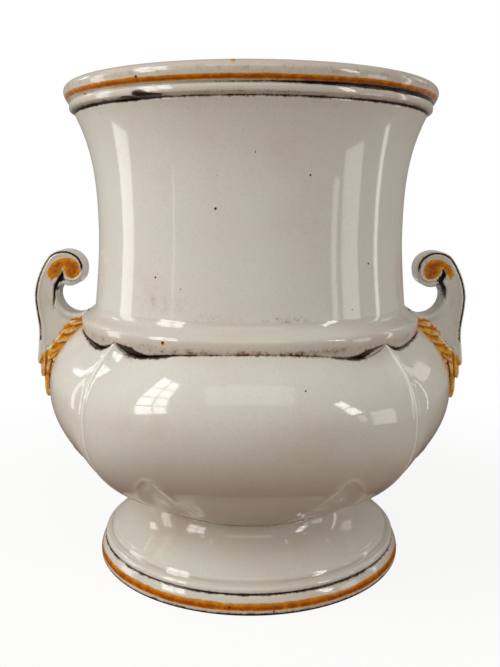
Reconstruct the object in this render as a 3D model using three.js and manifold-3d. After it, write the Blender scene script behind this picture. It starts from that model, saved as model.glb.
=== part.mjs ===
// A glazed pottery urn: hollow foot, four-lobed bowl, shoulder collar, flared neck, rolled rim and
// two volute handles, each standing on an acanthus leaf that seats it on the bowl.
// Millimetres, +Z up, origin at the centre of the ring the urn stands on, handles along X.

import * as THREE from 'three';
import { mergeVertices } from 'three/addons/utils/BufferGeometryUtils.js';
import Module from 'manifold-3d';

// Joints between the formed pieces
const slipGap = 0.3;            // film of slip between two pieces that are luted together
const spigotClearance = 0.6;    // round a locating ring inside its socket
const spigotDepth = 4;
const cutAllowance = 4;         // handles and leaves run this far into the body before they are cut to it

// Foot
const footHeight = 50.5;        // table to the seat of the bowl
const footRadius = 127;
const footNeckRadius = 87;      // where foot and bowl meet
const footBaseChamfer = 0.8;
const baseRollHeight = 13.4;    // striped roll at the bottom
const baseRollFullest = 3;      // height of its greatest radius
const baseRollTopInset = 3.7;   // footRadius down to the top of that roll
const upperRollHeight = 8.8;
const upperRollInset = 7.8;     // how far the second roll draws in
const footGrooveDepth = 1;
const footGrooveWidth = 1.8;
const footRingWidth = 15;       // flat ring that touches the table
const footWall = 9;
const footSeatWidth = 17;       // flat ring of the foot that carries the bowl

// Bowl
const bowlHeight = 142;         // foot seat to the nominal edge of the shoulder
const bowlWall = 9;
const bowlFloor = 11;
const lobeRadius = 163.8;
const lobeWidestHeight = 94.5;  // above the foot seat
const bowlEdgeWidth = 1.4;      // the bowl's edge beside the groove round the collar
const lobeLowerPower = 2;
const lobeUpperPower = 2.15;
const crestFullness = 1.6;      // the arris between two lobes stands out past the lobes
const crestWidestHeight = 86.5;
const crestLowerPower = 2.3;
const crestUpperPower = 2.3;
const crestSpreadFront = 18;    // degrees over which the crest runs out into the front lobe
const crestSpreadSide = 8;      // the same towards the lobe that carries the handle
const arrisHeight = 1.5;
const arrisHalfAngle = 1;       // degrees
const coveDepth = 1.8;          // shallow hollow along the handle side of each arris
const coveAngle = 2.2;          // degrees from the arris to the hollow's middle
const edgeDip = 7;              // the shoulder edge drops beside each arris
const edgeDipAngle = 9;         // degrees from the arris to the lowest point
const edgeDipReach = 48;        // depth below the edge at which the drop has faded out
const thumbDepth = 7;           // hollow pressed in beside each arris where the bowl meets the foot
const thumbHeight = 48;
const thumbInnerAngle = 4;      // degrees from the arris to the soft side
const thumbOuterAngle = 18;     // degrees from the arris to the crisp side

// Collar
const collarHeight = 25;        // its seat in the bowl to the seat of the neck
const collarBulge = 11;         // foot of the neck to the collar's greatest radius
const collarRootStep = 8;       // foot of the neck to the part that stands in the bowl
const collarRootHeight = 9.5;
const collarBulgeHeight = 15.5; // height of its greatest radius
const collarShoulderHeight = 19.5;
const collarShoulderInset = 2.2;
const collarGroove = 1.2;       // dark groove between the bowl's edge and the collar

// Neck
const neckHeight = 148.3;
const neckFootRadius = 126;
const neckWaistDraw = 4.2;      // foot of the neck in to the waist
const neckWaistHeight = 59;
const neckFlare = 11.2;         // foot of the neck out to the mouth
const neckLowerPower = 1.5;
const neckUpperPower = 2.85;
const neckWall = 8;

// Rim
const rimHeight = 21.7;
const rimFullestHeight = 15.7;
const rimFullness = 7.7;        // mouth of the neck to the rim's greatest radius
const rimBeadHeight = 7.1;
const rimBeadStep = 3.8;        // mouth of the neck to the bead under the lip
const rimStripeStep = 5.2;      // mouth of the neck to the bottom of the lip
const rimGrooveDepth = 0.8;
const rimGrooveWidth = 1.8;
const rimCrownInset = 2.7;      // mouth of the neck in to the middle of the narrow flat on top
const rimCrownWidth = 3;
const rimInnerRoll = 3.2;

// Handles, drawn square on: out from the foot of the neck and up from its seat
const handleWidth = 22;
const handleChamfer = 2;
const handleOverhang = 12.4;    // widest lobe to the back of the handle
const voluteRadius = 11.9;
const voluteOut = 21.2;         // neck foot to the eye of the volute
const voluteRise = 27.3;        // neck seat to the eye of the volute
const voluteGrowth = 0.218;     // growth of the spiral per radian
const voluteStartAngle = -52;   // degrees, where the blade meets the underside of the volute
const voluteEndAngle = -320;    // degrees, where the spiral runs into the back of the handle
const gripRadius = 15.8;        // hollow that takes the fingers
const gripOut = 16;
const gripRise = 8;
const backReach = 50.2;         // neck foot to the back of the handle, as drawn
const backWaistReach = 47.8;
const handleBaseReach = 49.4;
const handleBaseDrop = 40;      // neck seat down to the lowest point of the handle
const armTipRise = 0.5;         // neck seat up to the tip that touches the neck
const armTipThickness = 7.5;
const armThickness = 5.5;       // between the finger hollow and the leaf

// Acanthus leaves
const leafWidth = 27;           // across the leaf where it is widest
const leafTopWidth = 22;
const leafTipWidth = 7;
const leafTipDrop = 79;         // neck seat down to the point of the leaf
const leafThickness = 7;        // off the bowl at the point
const leafFlare = 1.8;          // top lobe stands out past the handle's back
const leafLobes = 4;
const leafLobeDepth = 1.8;

// Smoothness of the round surfaces
const ringSides = 48;
// Degrees from an arris to the columns of points on either side, up to the middle of the lobe
const columnOffsets = [0, 1, 2.6, 5.2, 9.2, 14.4, 20.8, 28.2, 36.4];

// Heights of the joints above the table
const bowlSeatZ = footHeight;
const bowlEdgeZ = bowlSeatZ + bowlHeight;
const collarSeatZ = bowlEdgeZ - collarRootHeight;
const neckSeatZ = collarSeatZ + collarHeight;
const rimSeatZ = neckSeatZ + neckHeight;
const rimTopZ = rimSeatZ + rimHeight;

// Radii that follow from the neck, the bowl and the foot
const neckWaistRadius = neckFootRadius - neckWaistDraw;
const neckMouthRadius = neckFootRadius + neckFlare;
const collarRadius = neckFootRadius + collarBulge;
const collarRootRadius = neckFootRadius + collarRootStep;
const footBoreRadius = footNeckRadius - footSeatWidth;
const collarSocketRadius = collarRootRadius + collarGroove;
const throatRadius = neckFootRadius - neckWall;
const neckSocketRadius = neckFootRadius - neckWall / 2;
const mouthRadius = neckMouthRadius - neckWall;
const rimSocketRadius = neckMouthRadius - neckWall / 2;
const lobeShoulderRadius = collarSocketRadius + bowlEdgeWidth;
const crestRadius = lobeRadius + crestFullness;

// Handles and leaves are drawn at one size and fitted between the neck and the overhang past the bowl
const handleFit = (lobeRadius + handleOverhang - neckFootRadius) / backReach;

const quadrant = Math.PI / 2;
const toRadians = THREE.MathUtils.degToRad;
const wasm = await Module();
wasm.setup();

const point = (x, y) => new THREE.Vector2(x, y);

// Points along a cubic curve, without its first point
function bend(from, control1, control2, to, steps) {
  return new THREE.CubicBezierCurve(from, control1, control2, to).getPoints(steps).slice(1);
}

// A ring or a bowl from one outline in (radius, height), outside going up and inside coming down
function revolve(outline) {
  return new THREE.LatheGeometry(outline, ringSides).rotateX(quadrant);
}

function closed(outline) {
  return [...outline, outline[0].clone()];
}

// Angles of the bowl's columns, close together at each arris
function bowlColumns() {
  const angles = [];
  for (let side = 0; side < 4; side += 1) {
    const arris = toRadians(45 + 90 * side);
    const before = columnOffsets.slice(1).reverse().map((offset) => arris - toRadians(offset));
    const after = columnOffsets.map((offset) => arris + toRadians(offset));
    angles.push(toRadians(90 * side), ...before, ...after);
  }
  return angles;
}

const smooth = (value) => THREE.MathUtils.smoothstep(value, 0, 1);

// Radius that swells from the foot to the widest height, then draws in to the shoulder edge
function bellyRadius(height, widest, widestHeight, lowerPower, upperPower) {
  if (height < widestHeight) {
    const climb = 1 - height / widestHeight;
    return widest - (widest - footNeckRadius) * climb ** lowerPower;
  }
  const climb = (height - widestHeight) / (bowlHeight - widestHeight);
  return widest - (widest - lobeShoulderRadius) * climb ** upperPower;
}

function lobeProfile(height) {
  return bellyRadius(height, lobeRadius, lobeWidestHeight, lobeLowerPower, lobeUpperPower);
}

function crestProfile(height) {
  return bellyRadius(height, crestRadius, crestWidestHeight, crestLowerPower, crestUpperPower);
}

// Degrees from the nearest arris, positive towards the handle it flanks
function arrisOffset(angle) {
  const turn = THREE.MathUtils.radToDeg(angle);
  const folded = Math.abs(THREE.MathUtils.euclideanModulo(turn + 90, 180) - 90);
  return folded - 45;
}

// Outside of the bowl at a nominal height above the foot seat, as [radius, height]
function bowlSurface(angle, height) {
  const offset = arrisOffset(angle);
  const away = Math.abs(offset);
  const spread = offset > 0 ? crestSpreadSide : crestSpreadFront;
  const blend = Math.exp(-((away / spread) ** 2));
  const rise = height / bowlHeight;
  const relief = smooth(rise / 0.12) * smooth((1 - rise) / 0.06);
  const crest = crestProfile(height) - arrisHeight * relief;
  let radius = THREE.MathUtils.lerp(lobeProfile(height), crest, blend);
  radius += arrisHeight * relief * Math.max(0, 1 - away / arrisHalfAngle);
  if (offset > 0) {
    const apart = (offset - coveAngle) / coveAngle;
    radius -= coveDepth * relief * smooth(rise / 0.5) * Math.exp(-apart * apart);
  }
  const press = smooth(1 - height / thumbHeight) * smooth(height / 8);
  const inner = smooth((away - thumbInnerAngle) / (thumbOuterAngle - thumbInnerAngle));
  const outer = 1 - smooth((away - thumbOuterAngle) / 3);
  radius -= thumbDepth * press * inner * outer;
  const share = away / edgeDipAngle;
  const fade = smooth(1 - (bowlHeight - height) / edgeDipReach);
  return [radius, height - edgeDip * share * Math.exp(1 - share) * fade];
}

// A lathe of the bowl's own columns whose first rows follow the lobed outside
function lobedSolid(outline, outsideFirst, outsideHeights, growth) {
  const columns = bowlColumns();
  const geometry = new THREE.LatheGeometry(outline, columns.length);
  const position = geometry.attributes.position;
  for (let index = 0; index < position.count; index += 1) {
    const angle = columns[Math.floor(index / outline.length) % columns.length];
    const row = index % outline.length;
    let { x: radius, y: height } = outline[row];
    if (row >= outsideFirst && row < outsideFirst + outsideHeights.length) {
      [radius, height] = bowlSurface(angle, outsideHeights[row - outsideFirst]);
      radius += growth;
      height += bowlSeatZ;
    }
    position.setXYZ(index, radius * Math.sin(angle), height, radius * Math.cos(angle));
  }
  return geometry.rotateX(quadrant);
}

// Nominal heights of the rows on the bowl's outside, closer at the foot and at the shoulder
function outsideRows() {
  const heights = [];
  const rows = 17;
  for (let row = 0; row <= rows; row += 1) {
    const share = row / rows;
    const eased = share - Math.sin(2 * Math.PI * share) / 18;
    heights.push(bowlHeight * eased);
  }
  return heights;
}

const plainOutside = (heights) => heights.map((height) => point(lobeProfile(height), bowlSeatZ + height));

function footGeometry() {
  const rollTop = baseRollHeight;
  const rollTopRadius = footRadius - baseRollTopInset;
  const upperStart = rollTop + footGrooveWidth;
  const upperTop = upperStart + upperRollHeight;
  const upperTopRadius = rollTopRadius - upperRollInset;
  const coveStart = point(upperTopRadius - footGrooveDepth, upperTop + footGrooveDepth);
  const coveRun = coveStart.x - footNeckRadius;
  const coveRise = bowlSeatZ - coveStart.y;
  const roof = bowlSeatZ - footWall;
  const ringInner = footRadius - footBaseChamfer - footRingWidth;
  const seat = point(footNeckRadius, bowlSeatZ);
  return revolve(closed([
    point(ringInner, 0),
    point(footRadius - footBaseChamfer, 0),
    ...bend(
      point(footRadius - footBaseChamfer, 0),
      point(footRadius - footBaseChamfer * 0.3, 0.2),
      point(footRadius, footBaseChamfer * 0.7),
      point(footRadius, baseRollFullest),
      2,
    ),
    ...bend(
      point(footRadius, baseRollFullest),
      point(footRadius, rollTop * 0.5),
      point(rollTopRadius + 1, rollTop * 0.9),
      point(rollTopRadius, rollTop),
      4,
    ),
    point(rollTopRadius - footGrooveDepth, rollTop + footGrooveWidth / 2),
    point(rollTopRadius - 0.4, upperStart),
    ...bend(
      point(rollTopRadius - 0.4, upperStart),
      point(rollTopRadius - 0.8, upperStart + upperRollHeight * 0.3),
      point(upperTopRadius + upperRollInset * 0.45, upperTop - 1),
      point(upperTopRadius, upperTop),
      3,
    ),
    coveStart,
    ...bend(
      coveStart,
      point(coveStart.x - coveRun * 0.45, coveStart.y + coveRise * 0.26),
      point(footNeckRadius + coveRun * 0.05, coveStart.y + coveRise * 0.55),
      seat,
      6,
    ),
    point(footBoreRadius, bowlSeatZ),
    point(footBoreRadius, roof),
    ...bend(
      point(footBoreRadius, roof),
      point(footBoreRadius + footWall, roof),
      point(ringInner - footWall, footWall),
      point(ringInner, 0),
      4,
    ).slice(0, -1),
  ]));
}

function bowlGeometry() {
  const spigotRadius = footBoreRadius - spigotClearance;
  const heights = outsideRows();
  const lipZ = collarSeatZ - bowlWall * 0.4;
  const floorZ = bowlSeatZ + bowlFloor;
  const innerRadius = lobeRadius - bowlWall;
  const widestZ = bowlSeatZ + lobeWidestHeight;
  const floorRadius = footNeckRadius - footWall;
  const inside = [
    ...bend(
      point(throatRadius, lipZ),
      point(throatRadius + (innerRadius - throatRadius) * 0.8, collarSeatZ - bowlWall * 0.7),
      point(innerRadius, widestZ + (collarSeatZ - widestZ) * 0.45),
      point(innerRadius, widestZ),
      5,
    ),
    ...bend(
      point(innerRadius, widestZ),
      point(innerRadius, widestZ - lobeWidestHeight * 0.42),
      point(floorRadius + (innerRadius - floorRadius) * 0.34, floorZ + bowlFloor * 0.55),
      point(floorRadius, floorZ),
      7,
    ),
  ];
  const outline = [
    point(0, bowlSeatZ - spigotDepth),
    point(spigotRadius, bowlSeatZ - spigotDepth),
    point(spigotRadius, bowlSeatZ),
    ...plainOutside(heights),
    point(collarSocketRadius, collarSeatZ),
    point(throatRadius, collarSeatZ),
    point(throatRadius, lipZ),
    ...inside,
    point(0, floorZ),
  ];
  return lobedSolid(outline, 3, heights, 0);
}

// Outside of the collar from its root in the bowl to the seat of the neck
function collarOutside(growth = 0) {
  const bulge = point(collarRadius + growth, collarSeatZ + collarBulgeHeight);
  const root = point(collarRootRadius + growth, collarSeatZ + collarRootHeight);
  const shoulder = point(collarRadius - collarShoulderInset + growth, collarSeatZ + collarShoulderHeight);
  const top = point(neckFootRadius + growth, neckSeatZ);
  return [
    point(collarRootRadius + growth, collarSeatZ),
    root,
    ...bend(
      root,
      point(root.x + 0.6, root.y + (bulge.y - root.y) * 0.5),
      point(bulge.x, bulge.y - (bulge.y - root.y) * 0.5),
      bulge,
      3,
    ),
    ...bend(
      bulge,
      point(bulge.x, bulge.y + (shoulder.y - bulge.y) * 0.6),
      point(shoulder.x + 1.4, shoulder.y - 1),
      shoulder,
      3,
    ),
    ...bend(
      shoulder,
      point(shoulder.x - 2.4, shoulder.y + 1.7),
      point(top.x + 2, top.y - (top.y - shoulder.y) * 0.45),
      top,
      3,
    ),
  ];
}

function collarGeometry() {
  return revolve(closed([
    point(throatRadius, collarSeatZ),
    ...collarOutside(),
    point(neckSocketRadius, neckSeatZ),
    point(neckSocketRadius, neckSeatZ - spigotDepth - slipGap),
    point(throatRadius, neckSeatZ - spigotDepth - slipGap),
  ]));
}

// Outside radius of the neck at a height above its seat
function neckProfile(height) {
  if (height < neckWaistHeight) {
    const share = (neckWaistHeight - height) / neckWaistHeight;
    return neckWaistRadius + (neckFootRadius - neckWaistRadius) * share ** neckLowerPower;
  }
  const share = (height - neckWaistHeight) / (neckHeight - neckWaistHeight);
  return neckWaistRadius + (neckMouthRadius - neckWaistRadius) * share ** neckUpperPower;
}

function neckRows(rows, growth = 0) {
  const outline = [];
  for (let row = 0; row <= rows; row += 1) {
    const height = neckHeight * (1 - (1 - row / rows) ** 1.25);
    outline.push(point(neckProfile(height) + growth, neckSeatZ + height));
  }
  return outline;
}

function neckGeometry() {
  const spigotRadius = neckSocketRadius - spigotClearance;
  const inside = neckRows(8, -neckWall).reverse();
  inside[0] = point(mouthRadius, rimSeatZ - spigotDepth - slipGap);
  return revolve(closed([
    point(throatRadius, neckSeatZ - spigotDepth),
    point(spigotRadius, neckSeatZ - spigotDepth),
    point(spigotRadius, neckSeatZ),
    ...neckRows(12),
    point(rimSocketRadius, rimSeatZ),
    point(rimSocketRadius, rimSeatZ - spigotDepth - slipGap),
    ...inside.slice(0, -1),
  ]));
}

function rimGeometry() {
  const spigotRadius = rimSocketRadius - spigotClearance;
  const beadFoot = neckMouthRadius + rimGrooveDepth / 2;
  const beadRadius = neckMouthRadius + rimBeadStep;
  const beadTop = rimSeatZ + rimBeadHeight;
  const stripeFoot = point(neckMouthRadius + rimStripeStep, beadTop + rimGrooveWidth);
  const fullest = point(neckMouthRadius + rimFullness, rimSeatZ + rimFullestHeight);
  const crownMiddle = neckMouthRadius - rimCrownInset;
  const crownOuter = point(crownMiddle + rimCrownWidth / 2, rimTopZ);
  const crownInner = point(crownMiddle - rimCrownWidth / 2, rimTopZ);
  const rollStart = point(mouthRadius, rimTopZ - rimInnerRoll * 2);
  return revolve(closed([
    point(mouthRadius, rimSeatZ - spigotDepth),
    point(spigotRadius, rimSeatZ - spigotDepth),
    point(spigotRadius, rimSeatZ),
    point(neckMouthRadius - rimGrooveDepth, rimSeatZ),
    point(beadFoot, rimSeatZ + rimGrooveDepth),
    ...bend(
      point(beadFoot, rimSeatZ + rimGrooveDepth),
      point(beadRadius, rimSeatZ + rimBeadHeight * 0.3),
      point(beadRadius + 0.2, rimSeatZ + rimBeadHeight * 0.7),
      point(beadRadius, beadTop),
      3,
    ),
    point(beadRadius - rimGrooveDepth, beadTop + rimGrooveWidth / 2),
    stripeFoot,
    ...bend(
      stripeFoot,
      point(stripeFoot.x + 1, stripeFoot.y + 2),
      point(fullest.x, fullest.y - 3),
      fullest,
      3,
    ),
    ...bend(
      fullest,
      point(fullest.x, rimTopZ - 2),
      point(crownOuter.x + 4, rimTopZ),
      crownOuter,
      4,
    ),
    crownInner,
    ...bend(
      crownInner,
      point(mouthRadius + 0.6, rimTopZ),
      point(mouthRadius, rimTopZ - rimInnerRoll),
      rollStart,
      3,
    ),
  ]));
}

function toSolid(geometry) {
  const bare = geometry.clone();
  bare.deleteAttribute('normal');
  bare.deleteAttribute('uv');
  const merged = mergeVertices(bare, 1e-4);
  const vertProperties = new Float32Array(merged.attributes.position.array);
  const triVerts = new Uint32Array(merged.index.array);
  return new wasm.Manifold(new wasm.Mesh({ numProp: 3, vertProperties, triVerts }));
}

function toGeometry(solid) {
  const mesh = solid.getMesh();
  const geometry = new THREE.BufferGeometry();
  geometry.setAttribute('position', new THREE.BufferAttribute(mesh.vertProperties, mesh.numProp));
  geometry.setIndex(new THREE.BufferAttribute(mesh.triVerts, 1));
  return geometry;
}

// Bowl, collar and neck filled solid and grown by the slip, which handles and leaves are cut to
function bodyWithSlip() {
  const growth = slipGap * Math.SQRT2;
  const heights = outsideRows();
  const bowl = lobedSolid([
    point(0, bowlSeatZ),
    ...plainOutside(heights),
    point(0, bowlEdgeZ),
  ], 1, heights, growth);
  const collar = revolve([
    point(0, collarSeatZ),
    ...collarOutside(growth),
    point(0, neckSeatZ),
  ]);
  const neck = revolve([
    point(0, neckSeatZ - spigotDepth),
    point(neckFootRadius + growth, neckSeatZ - spigotDepth),
    ...neckRows(12, growth),
    point(0, rimSeatZ),
  ]);
  return toSolid(bowl).add(toSolid(collar)).add(toSolid(neck));
}

// A point of the handle's drawing, put in its place beside the neck
function fitted(drawn) {
  return point(neckFootRadius + drawn.x * handleFit, neckSeatZ + drawn.y * handleFit);
}

// Line where handle and leaf meet, from the collar out to the back of the handle
function leafLine() {
  const hollowBottom = gripRise - gripRadius;
  return new THREE.SplineCurve([
    point(-cutAllowance, armTipRise - armTipThickness),
    point(gripOut, hollowBottom - armThickness),
    point(gripOut * 1.8, -handleBaseDrop * 0.5),
    point(handleBaseReach * 0.82, -handleBaseDrop * 0.9),
    point(handleBaseReach, -handleBaseDrop),
  ]).getPoints(10);
}

// Side view of the handle: arm, finger hollow, volute, back, and the line it shares with the leaf
function handleOutline() {
  const armTip = point(-cutAllowance, armTipRise);
  const outline = [armTip];
  outline.push(...bend(
    armTip,
    point(6, 0),
    point(gripOut - gripRadius * 0.5, gripRise - gripRadius),
    point(gripOut, gripRise - gripRadius),
    4,
  ));
  for (let step = 1; step <= 7; step += 1) {
    const angle = toRadians(-90 + 100 * (step / 7));
    outline.push(point(gripOut + gripRadius * Math.cos(angle), gripRise + gripRadius * Math.sin(angle)));
  }
  const spiralSteps = 20;
  for (let step = 0; step <= spiralSteps; step += 1) {
    const turn = THREE.MathUtils.lerp(voluteStartAngle, voluteEndAngle, step / spiralSteps);
    const growing = Math.max(0, toRadians(-180 - turn));
    const radius = voluteRadius * Math.exp(voluteGrowth * growing);
    const angle = toRadians(turn);
    outline.push(point(voluteOut + radius * Math.cos(angle), voluteRise + radius * Math.sin(angle)));
  }
  const spiralEnd = outline[outline.length - 1];
  const back = point(backReach, voluteRise * 0.2);
  const waist = point(backWaistReach, -handleBaseDrop * 0.55);
  const line = leafLine().reverse();
  outline.push(...bend(
    spiralEnd,
    point(spiralEnd.x + 6, spiralEnd.y - 6.4),
    point(back.x, back.y + 13),
    back,
    6,
  ));
  outline.push(...bend(
    back,
    point(back.x, back.y - 10),
    point(waist.x, waist.y + 9),
    waist,
    4,
  ));
  outline.push(...bend(
    waist,
    point(waist.x, waist.y - 7),
    point(line[0].x - 0.6, line[0].y + 7),
    line[0],
    3,
  ));
  outline.push(...line.slice(1));
  return outline.map(fitted);
}

// An outline in (x, z) given an even thickness across y
function slab(outline, width, chamfer) {
  const bevel = {
    bevelEnabled: chamfer > 0,
    bevelThickness: chamfer,
    bevelSize: chamfer,
    bevelOffset: -chamfer,
    bevelSegments: 2,
  };
  const depth = width - 2 * chamfer;
  const geometry = new THREE.ExtrudeGeometry(new THREE.Shape(outline), { depth, steps: 1, ...bevel });
  return geometry.translate(0, 0, -depth / 2).rotateX(quadrant);
}

function handleGeometry(body) {
  const chamfer = Math.min(handleChamfer, armThickness * handleFit * 0.36);
  const blade = toSolid(slab(handleOutline(), handleWidth, chamfer));
  return toGeometry(blade.subtract(body));
}

// Side view of the leaf: under the handle, then scalloped down the outside to its point
function leafOutline() {
  const line = leafLine().map(fitted).map((shared) => point(shared.x, shared.y - slipGap));
  const out = line[line.length - 1];
  const tipZ = neckSeatZ - leafTipDrop * handleFit;
  const tip = point(lobeProfile(tipZ - bowlSeatZ) + leafThickness, tipZ);
  const outline = [...line];
  const shoulderX = out.x + leafFlare;
  const stepsPerLobe = 4;
  for (let step = 1; step <= leafLobes * stepsPerLobe; step += 1) {
    const share = step / (leafLobes * stepsPerLobe);
    const z = THREE.MathUtils.lerp(out.y, tipZ, share);
    const bulge = Math.abs(Math.sin(Math.PI * leafLobes * share));
    const base = THREE.MathUtils.lerp(shoulderX - leafLobeDepth, tip.x - leafLobeDepth, share ** 1.6);
    outline.push(point(base + leafLobeDepth * bulge, z));
  }
  outline.push(point(tip.x - leafThickness - cutAllowance, tipZ));
  outline.push(point(neckFootRadius - cutAllowance, bowlSeatZ + lobeWidestHeight));
  return outline;
}

// The leaf seen from outside, along the handle's axis: half-width at each share of its length
function leafFace() {
  const tipZ = neckSeatZ - leafTipDrop * handleFit;
  const half = [];
  const steps = 24;
  for (let step = 0; step <= steps; step += 1) {
    const share = step / steps;
    const swell = Math.sin(Math.PI * Math.min(1, share * 1.08)) ** 0.8;
    const plain = THREE.MathUtils.lerp(leafTopWidth, leafTipWidth, share) / 2;
    const fullness = (leafWidth - leafTopWidth) * 1.1 * swell;
    const notch = leafLobeDepth * Math.abs(Math.cos(Math.PI * leafLobes * share)) * smooth(share / 0.2);
    half.push(point(plain + fullness - notch, THREE.MathUtils.lerp(neckSeatZ, tipZ, share)));
  }
  const outline = [...half, ...half.map((edge) => point(-edge.x, edge.y)).reverse()];
  const reach = lobeRadius + handleOverhang + leafThickness;
  const geometry = new THREE.ExtrudeGeometry(new THREE.Shape(outline), {
    depth: reach,
    steps: 1,
    bevelEnabled: false,
  });
  return geometry.rotateX(quadrant).rotateZ(quadrant);
}

function leafGeometry(body) {
  const side = toSolid(slab(leafOutline(), 2 * leafWidth, 0));
  const face = toSolid(leafFace());
  return toGeometry(side.intersect(face).subtract(body));
}

const glaze = (color, roughness) => new THREE.MeshStandardMaterial({ color, roughness, metalness: 0 });

const urn = new THREE.Group();

function addPiece(name, geometry, material, turn = 0) {
  const mesh = new THREE.Mesh(geometry, material);
  mesh.name = name;
  mesh.rotation.z = turn;
  urn.add(mesh);
}

const body = bodyWithSlip();
const handle = handleGeometry(body);
const leaf = leafGeometry(body);

addPiece('foot', footGeometry(), glaze(0xd2cabc, 0.15));
addPiece('lobed_bowl', bowlGeometry(), glaze(0xcfc7ba, 0.15));
addPiece('shoulder_collar', collarGeometry(), glaze(0xd0c6b8, 0.16));
addPiece('flared_neck', neckGeometry(), glaze(0xd4ccbf, 0.14));
addPiece('rim_roll', rimGeometry(), glaze(0xd6cec0, 0.15));
addPiece('handle_right', handle, glaze(0xd3cabb, 0.15));
addPiece('handle_left', handle, glaze(0xd3cabb, 0.15), Math.PI);
addPiece('leaf_right', leaf, glaze(0xc58423, 0.2));
addPiece('leaf_left', leaf, glaze(0xc58423, 0.2), Math.PI);

export default urn;
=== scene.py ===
import math

import bmesh
import bpy
import numpy as np
from mathutils import Matrix, Vector


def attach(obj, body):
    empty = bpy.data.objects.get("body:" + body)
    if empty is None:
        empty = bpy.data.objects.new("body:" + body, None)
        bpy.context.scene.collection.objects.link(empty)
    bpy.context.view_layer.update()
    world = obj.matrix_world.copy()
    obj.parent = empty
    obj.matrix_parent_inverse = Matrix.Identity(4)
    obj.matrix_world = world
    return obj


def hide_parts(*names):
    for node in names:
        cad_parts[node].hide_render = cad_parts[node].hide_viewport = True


# A glazed pottery urn, in metres. Shapes are worked out in millimetres, from a radius, a height over
# the table, and an angle that is 0 degrees at the front and 90 degrees at the right handle.

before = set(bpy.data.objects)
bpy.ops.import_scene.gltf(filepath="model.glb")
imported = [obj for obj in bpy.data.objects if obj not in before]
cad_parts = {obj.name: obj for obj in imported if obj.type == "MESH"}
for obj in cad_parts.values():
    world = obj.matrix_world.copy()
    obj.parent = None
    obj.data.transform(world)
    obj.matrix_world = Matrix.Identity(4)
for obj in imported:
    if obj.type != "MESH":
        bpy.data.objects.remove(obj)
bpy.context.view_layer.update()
print("frame loaded")

mm = 0.001


# An sRGB hex colour as linear red, green, blue and alpha
def linear(hexColour):
    channels = [int(hexColour[i:i + 2], 16) / 255 for i in (1, 3, 5)]
    return tuple(c / 12.92 if c <= 0.04045 else ((c + 0.055) / 1.055) ** 2.4 for c in channels) + (1.0,)


# Goes from 0 at low to 1 at high with level ends
def ease(value, low, high):
    share = np.clip((value - low) / (high - low), 0, 1)
    return share * share * (3 - 2 * share)


# A bell of height 1 round middle, falling to 1/e at reach
def bell(value, middle, reach):
    return np.exp(-(((value - middle) / reach) ** 2))


# Points of a cubic curve between two ends, its first point left out
def bend(start, pull, push, end, steps):
    t = np.linspace(0, 1, steps + 1)[1:, None]
    start, pull, push, end = (np.asarray(p, float) for p in (start, pull, push, end))
    return (1 - t) ** 3 * start + 3 * (1 - t) ** 2 * t * pull + 3 * (1 - t) * t * t * push + t ** 3 * end


# Distance walked along a line at each of its points
def walkedAlong(line):
    return np.concatenate([[0], np.cumsum(np.linalg.norm(np.diff(line, axis=0), axis=1))])


# A line through the given points, cut into equal steps along its length
def evenly(points, steps):
    points = np.asarray(points, float)
    walked = walkedAlong(points)
    at = np.linspace(0, walked[-1], steps + 1)
    return np.stack([np.interp(at, walked, points[:, k]) for k in range(points.shape[1])], 1)


# A smooth line through the given points (Catmull-Rom), cut into equal steps
def curveThrough(points, steps):
    p = np.asarray(points, float)
    p = np.vstack([2 * p[0] - p[1], p, 2 * p[-1] - p[-2]])
    t = np.linspace(0, 1, 13)[:-1, None]
    parts = []
    for a, b, c, d in zip(p[:-3], p[1:-2], p[2:-1], p[3:]):
        parts.append(0.5 * (2 * b + (c - a) * t + (2 * a - 5 * b + 4 * c - d) * t ** 2
                            + (3 * b - a - 3 * c + d) * t ** 3))
    return evenly(np.vstack(parts + [p[-2:-1]]), steps)


# Uneven hand-work along an angle: sines of 3 to finest waves a turn with random phases, within -1..1
def ragged(turn, seed, finest=40):
    dice = np.random.default_rng(seed)
    waves = np.unique(np.round(np.geomspace(3, finest, 9)))
    total = sum(np.sin(n * turn + dice.uniform(0, 2 * math.pi)) / n ** 0.35 for n in waves)
    return total / sum(n ** -0.35 for n in waves) * 1.6


# Distance of each point to a line, and how far along the line (0 to 1) the nearest place is
def nearLine(points, line):
    line = np.asarray(line, float)
    walked = walkedAlong(line)
    best = np.full(len(points), np.inf)
    along = np.zeros(len(points))
    for k, (a, b) in enumerate(zip(line[:-1], line[1:])):
        run = b - a
        share = np.clip((points - a) @ run / max(run @ run, 1e-12), 0, 1)
        away = np.linalg.norm(points - (a + share[:, None] * run), axis=1)
        closer = away < best
        best = np.where(closer, away, best)
        along = np.where(closer, (walked[k] + share * (walked[k + 1] - walked[k])) / walked[-1], along)
    return best, along


# True for points inside a closed outline in the plane, by the even-odd rule: an odd number of the
# outline's edges crosses the level line that starts at the point
def insideOf(points, outline):
    outline = np.asarray(outline, float)
    x, y = points[:, 0], points[:, 1]
    inside = np.zeros(len(points), bool)
    for a, b in zip(outline, np.roll(outline, -1, 0)):
        crosses = (a[1] > y) != (b[1] > y)
        rise = b[1] - a[1] if abs(b[1] - a[1]) > 1e-12 else 1e-12
        inside ^= crosses & (x < (b[0] - a[0]) * (y - a[1]) / rise + a[0])
    return inside


# Signed distance to a closed line, positive inside
def inwardOf(places, line):
    return nearLine(places, line)[0] * np.where(insideOf(places, line), 1, -1)


# R = middle - (middle - end) * share^power, below and above the height of the middle: a belly where
# the ends are narrower, a waist where they are wider
def swelling(height, full, middle, middleHeight, ends, powers):
    down = np.clip(1 - height / middleHeight, 0, 1)
    up = np.clip((height - middleHeight) / (full - middleHeight), 0, 1)
    return np.where(height < middleHeight, middle - (middle - ends[0]) * down ** powers[0],
                    middle - (middle - ends[1]) * up ** powers[1])


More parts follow.
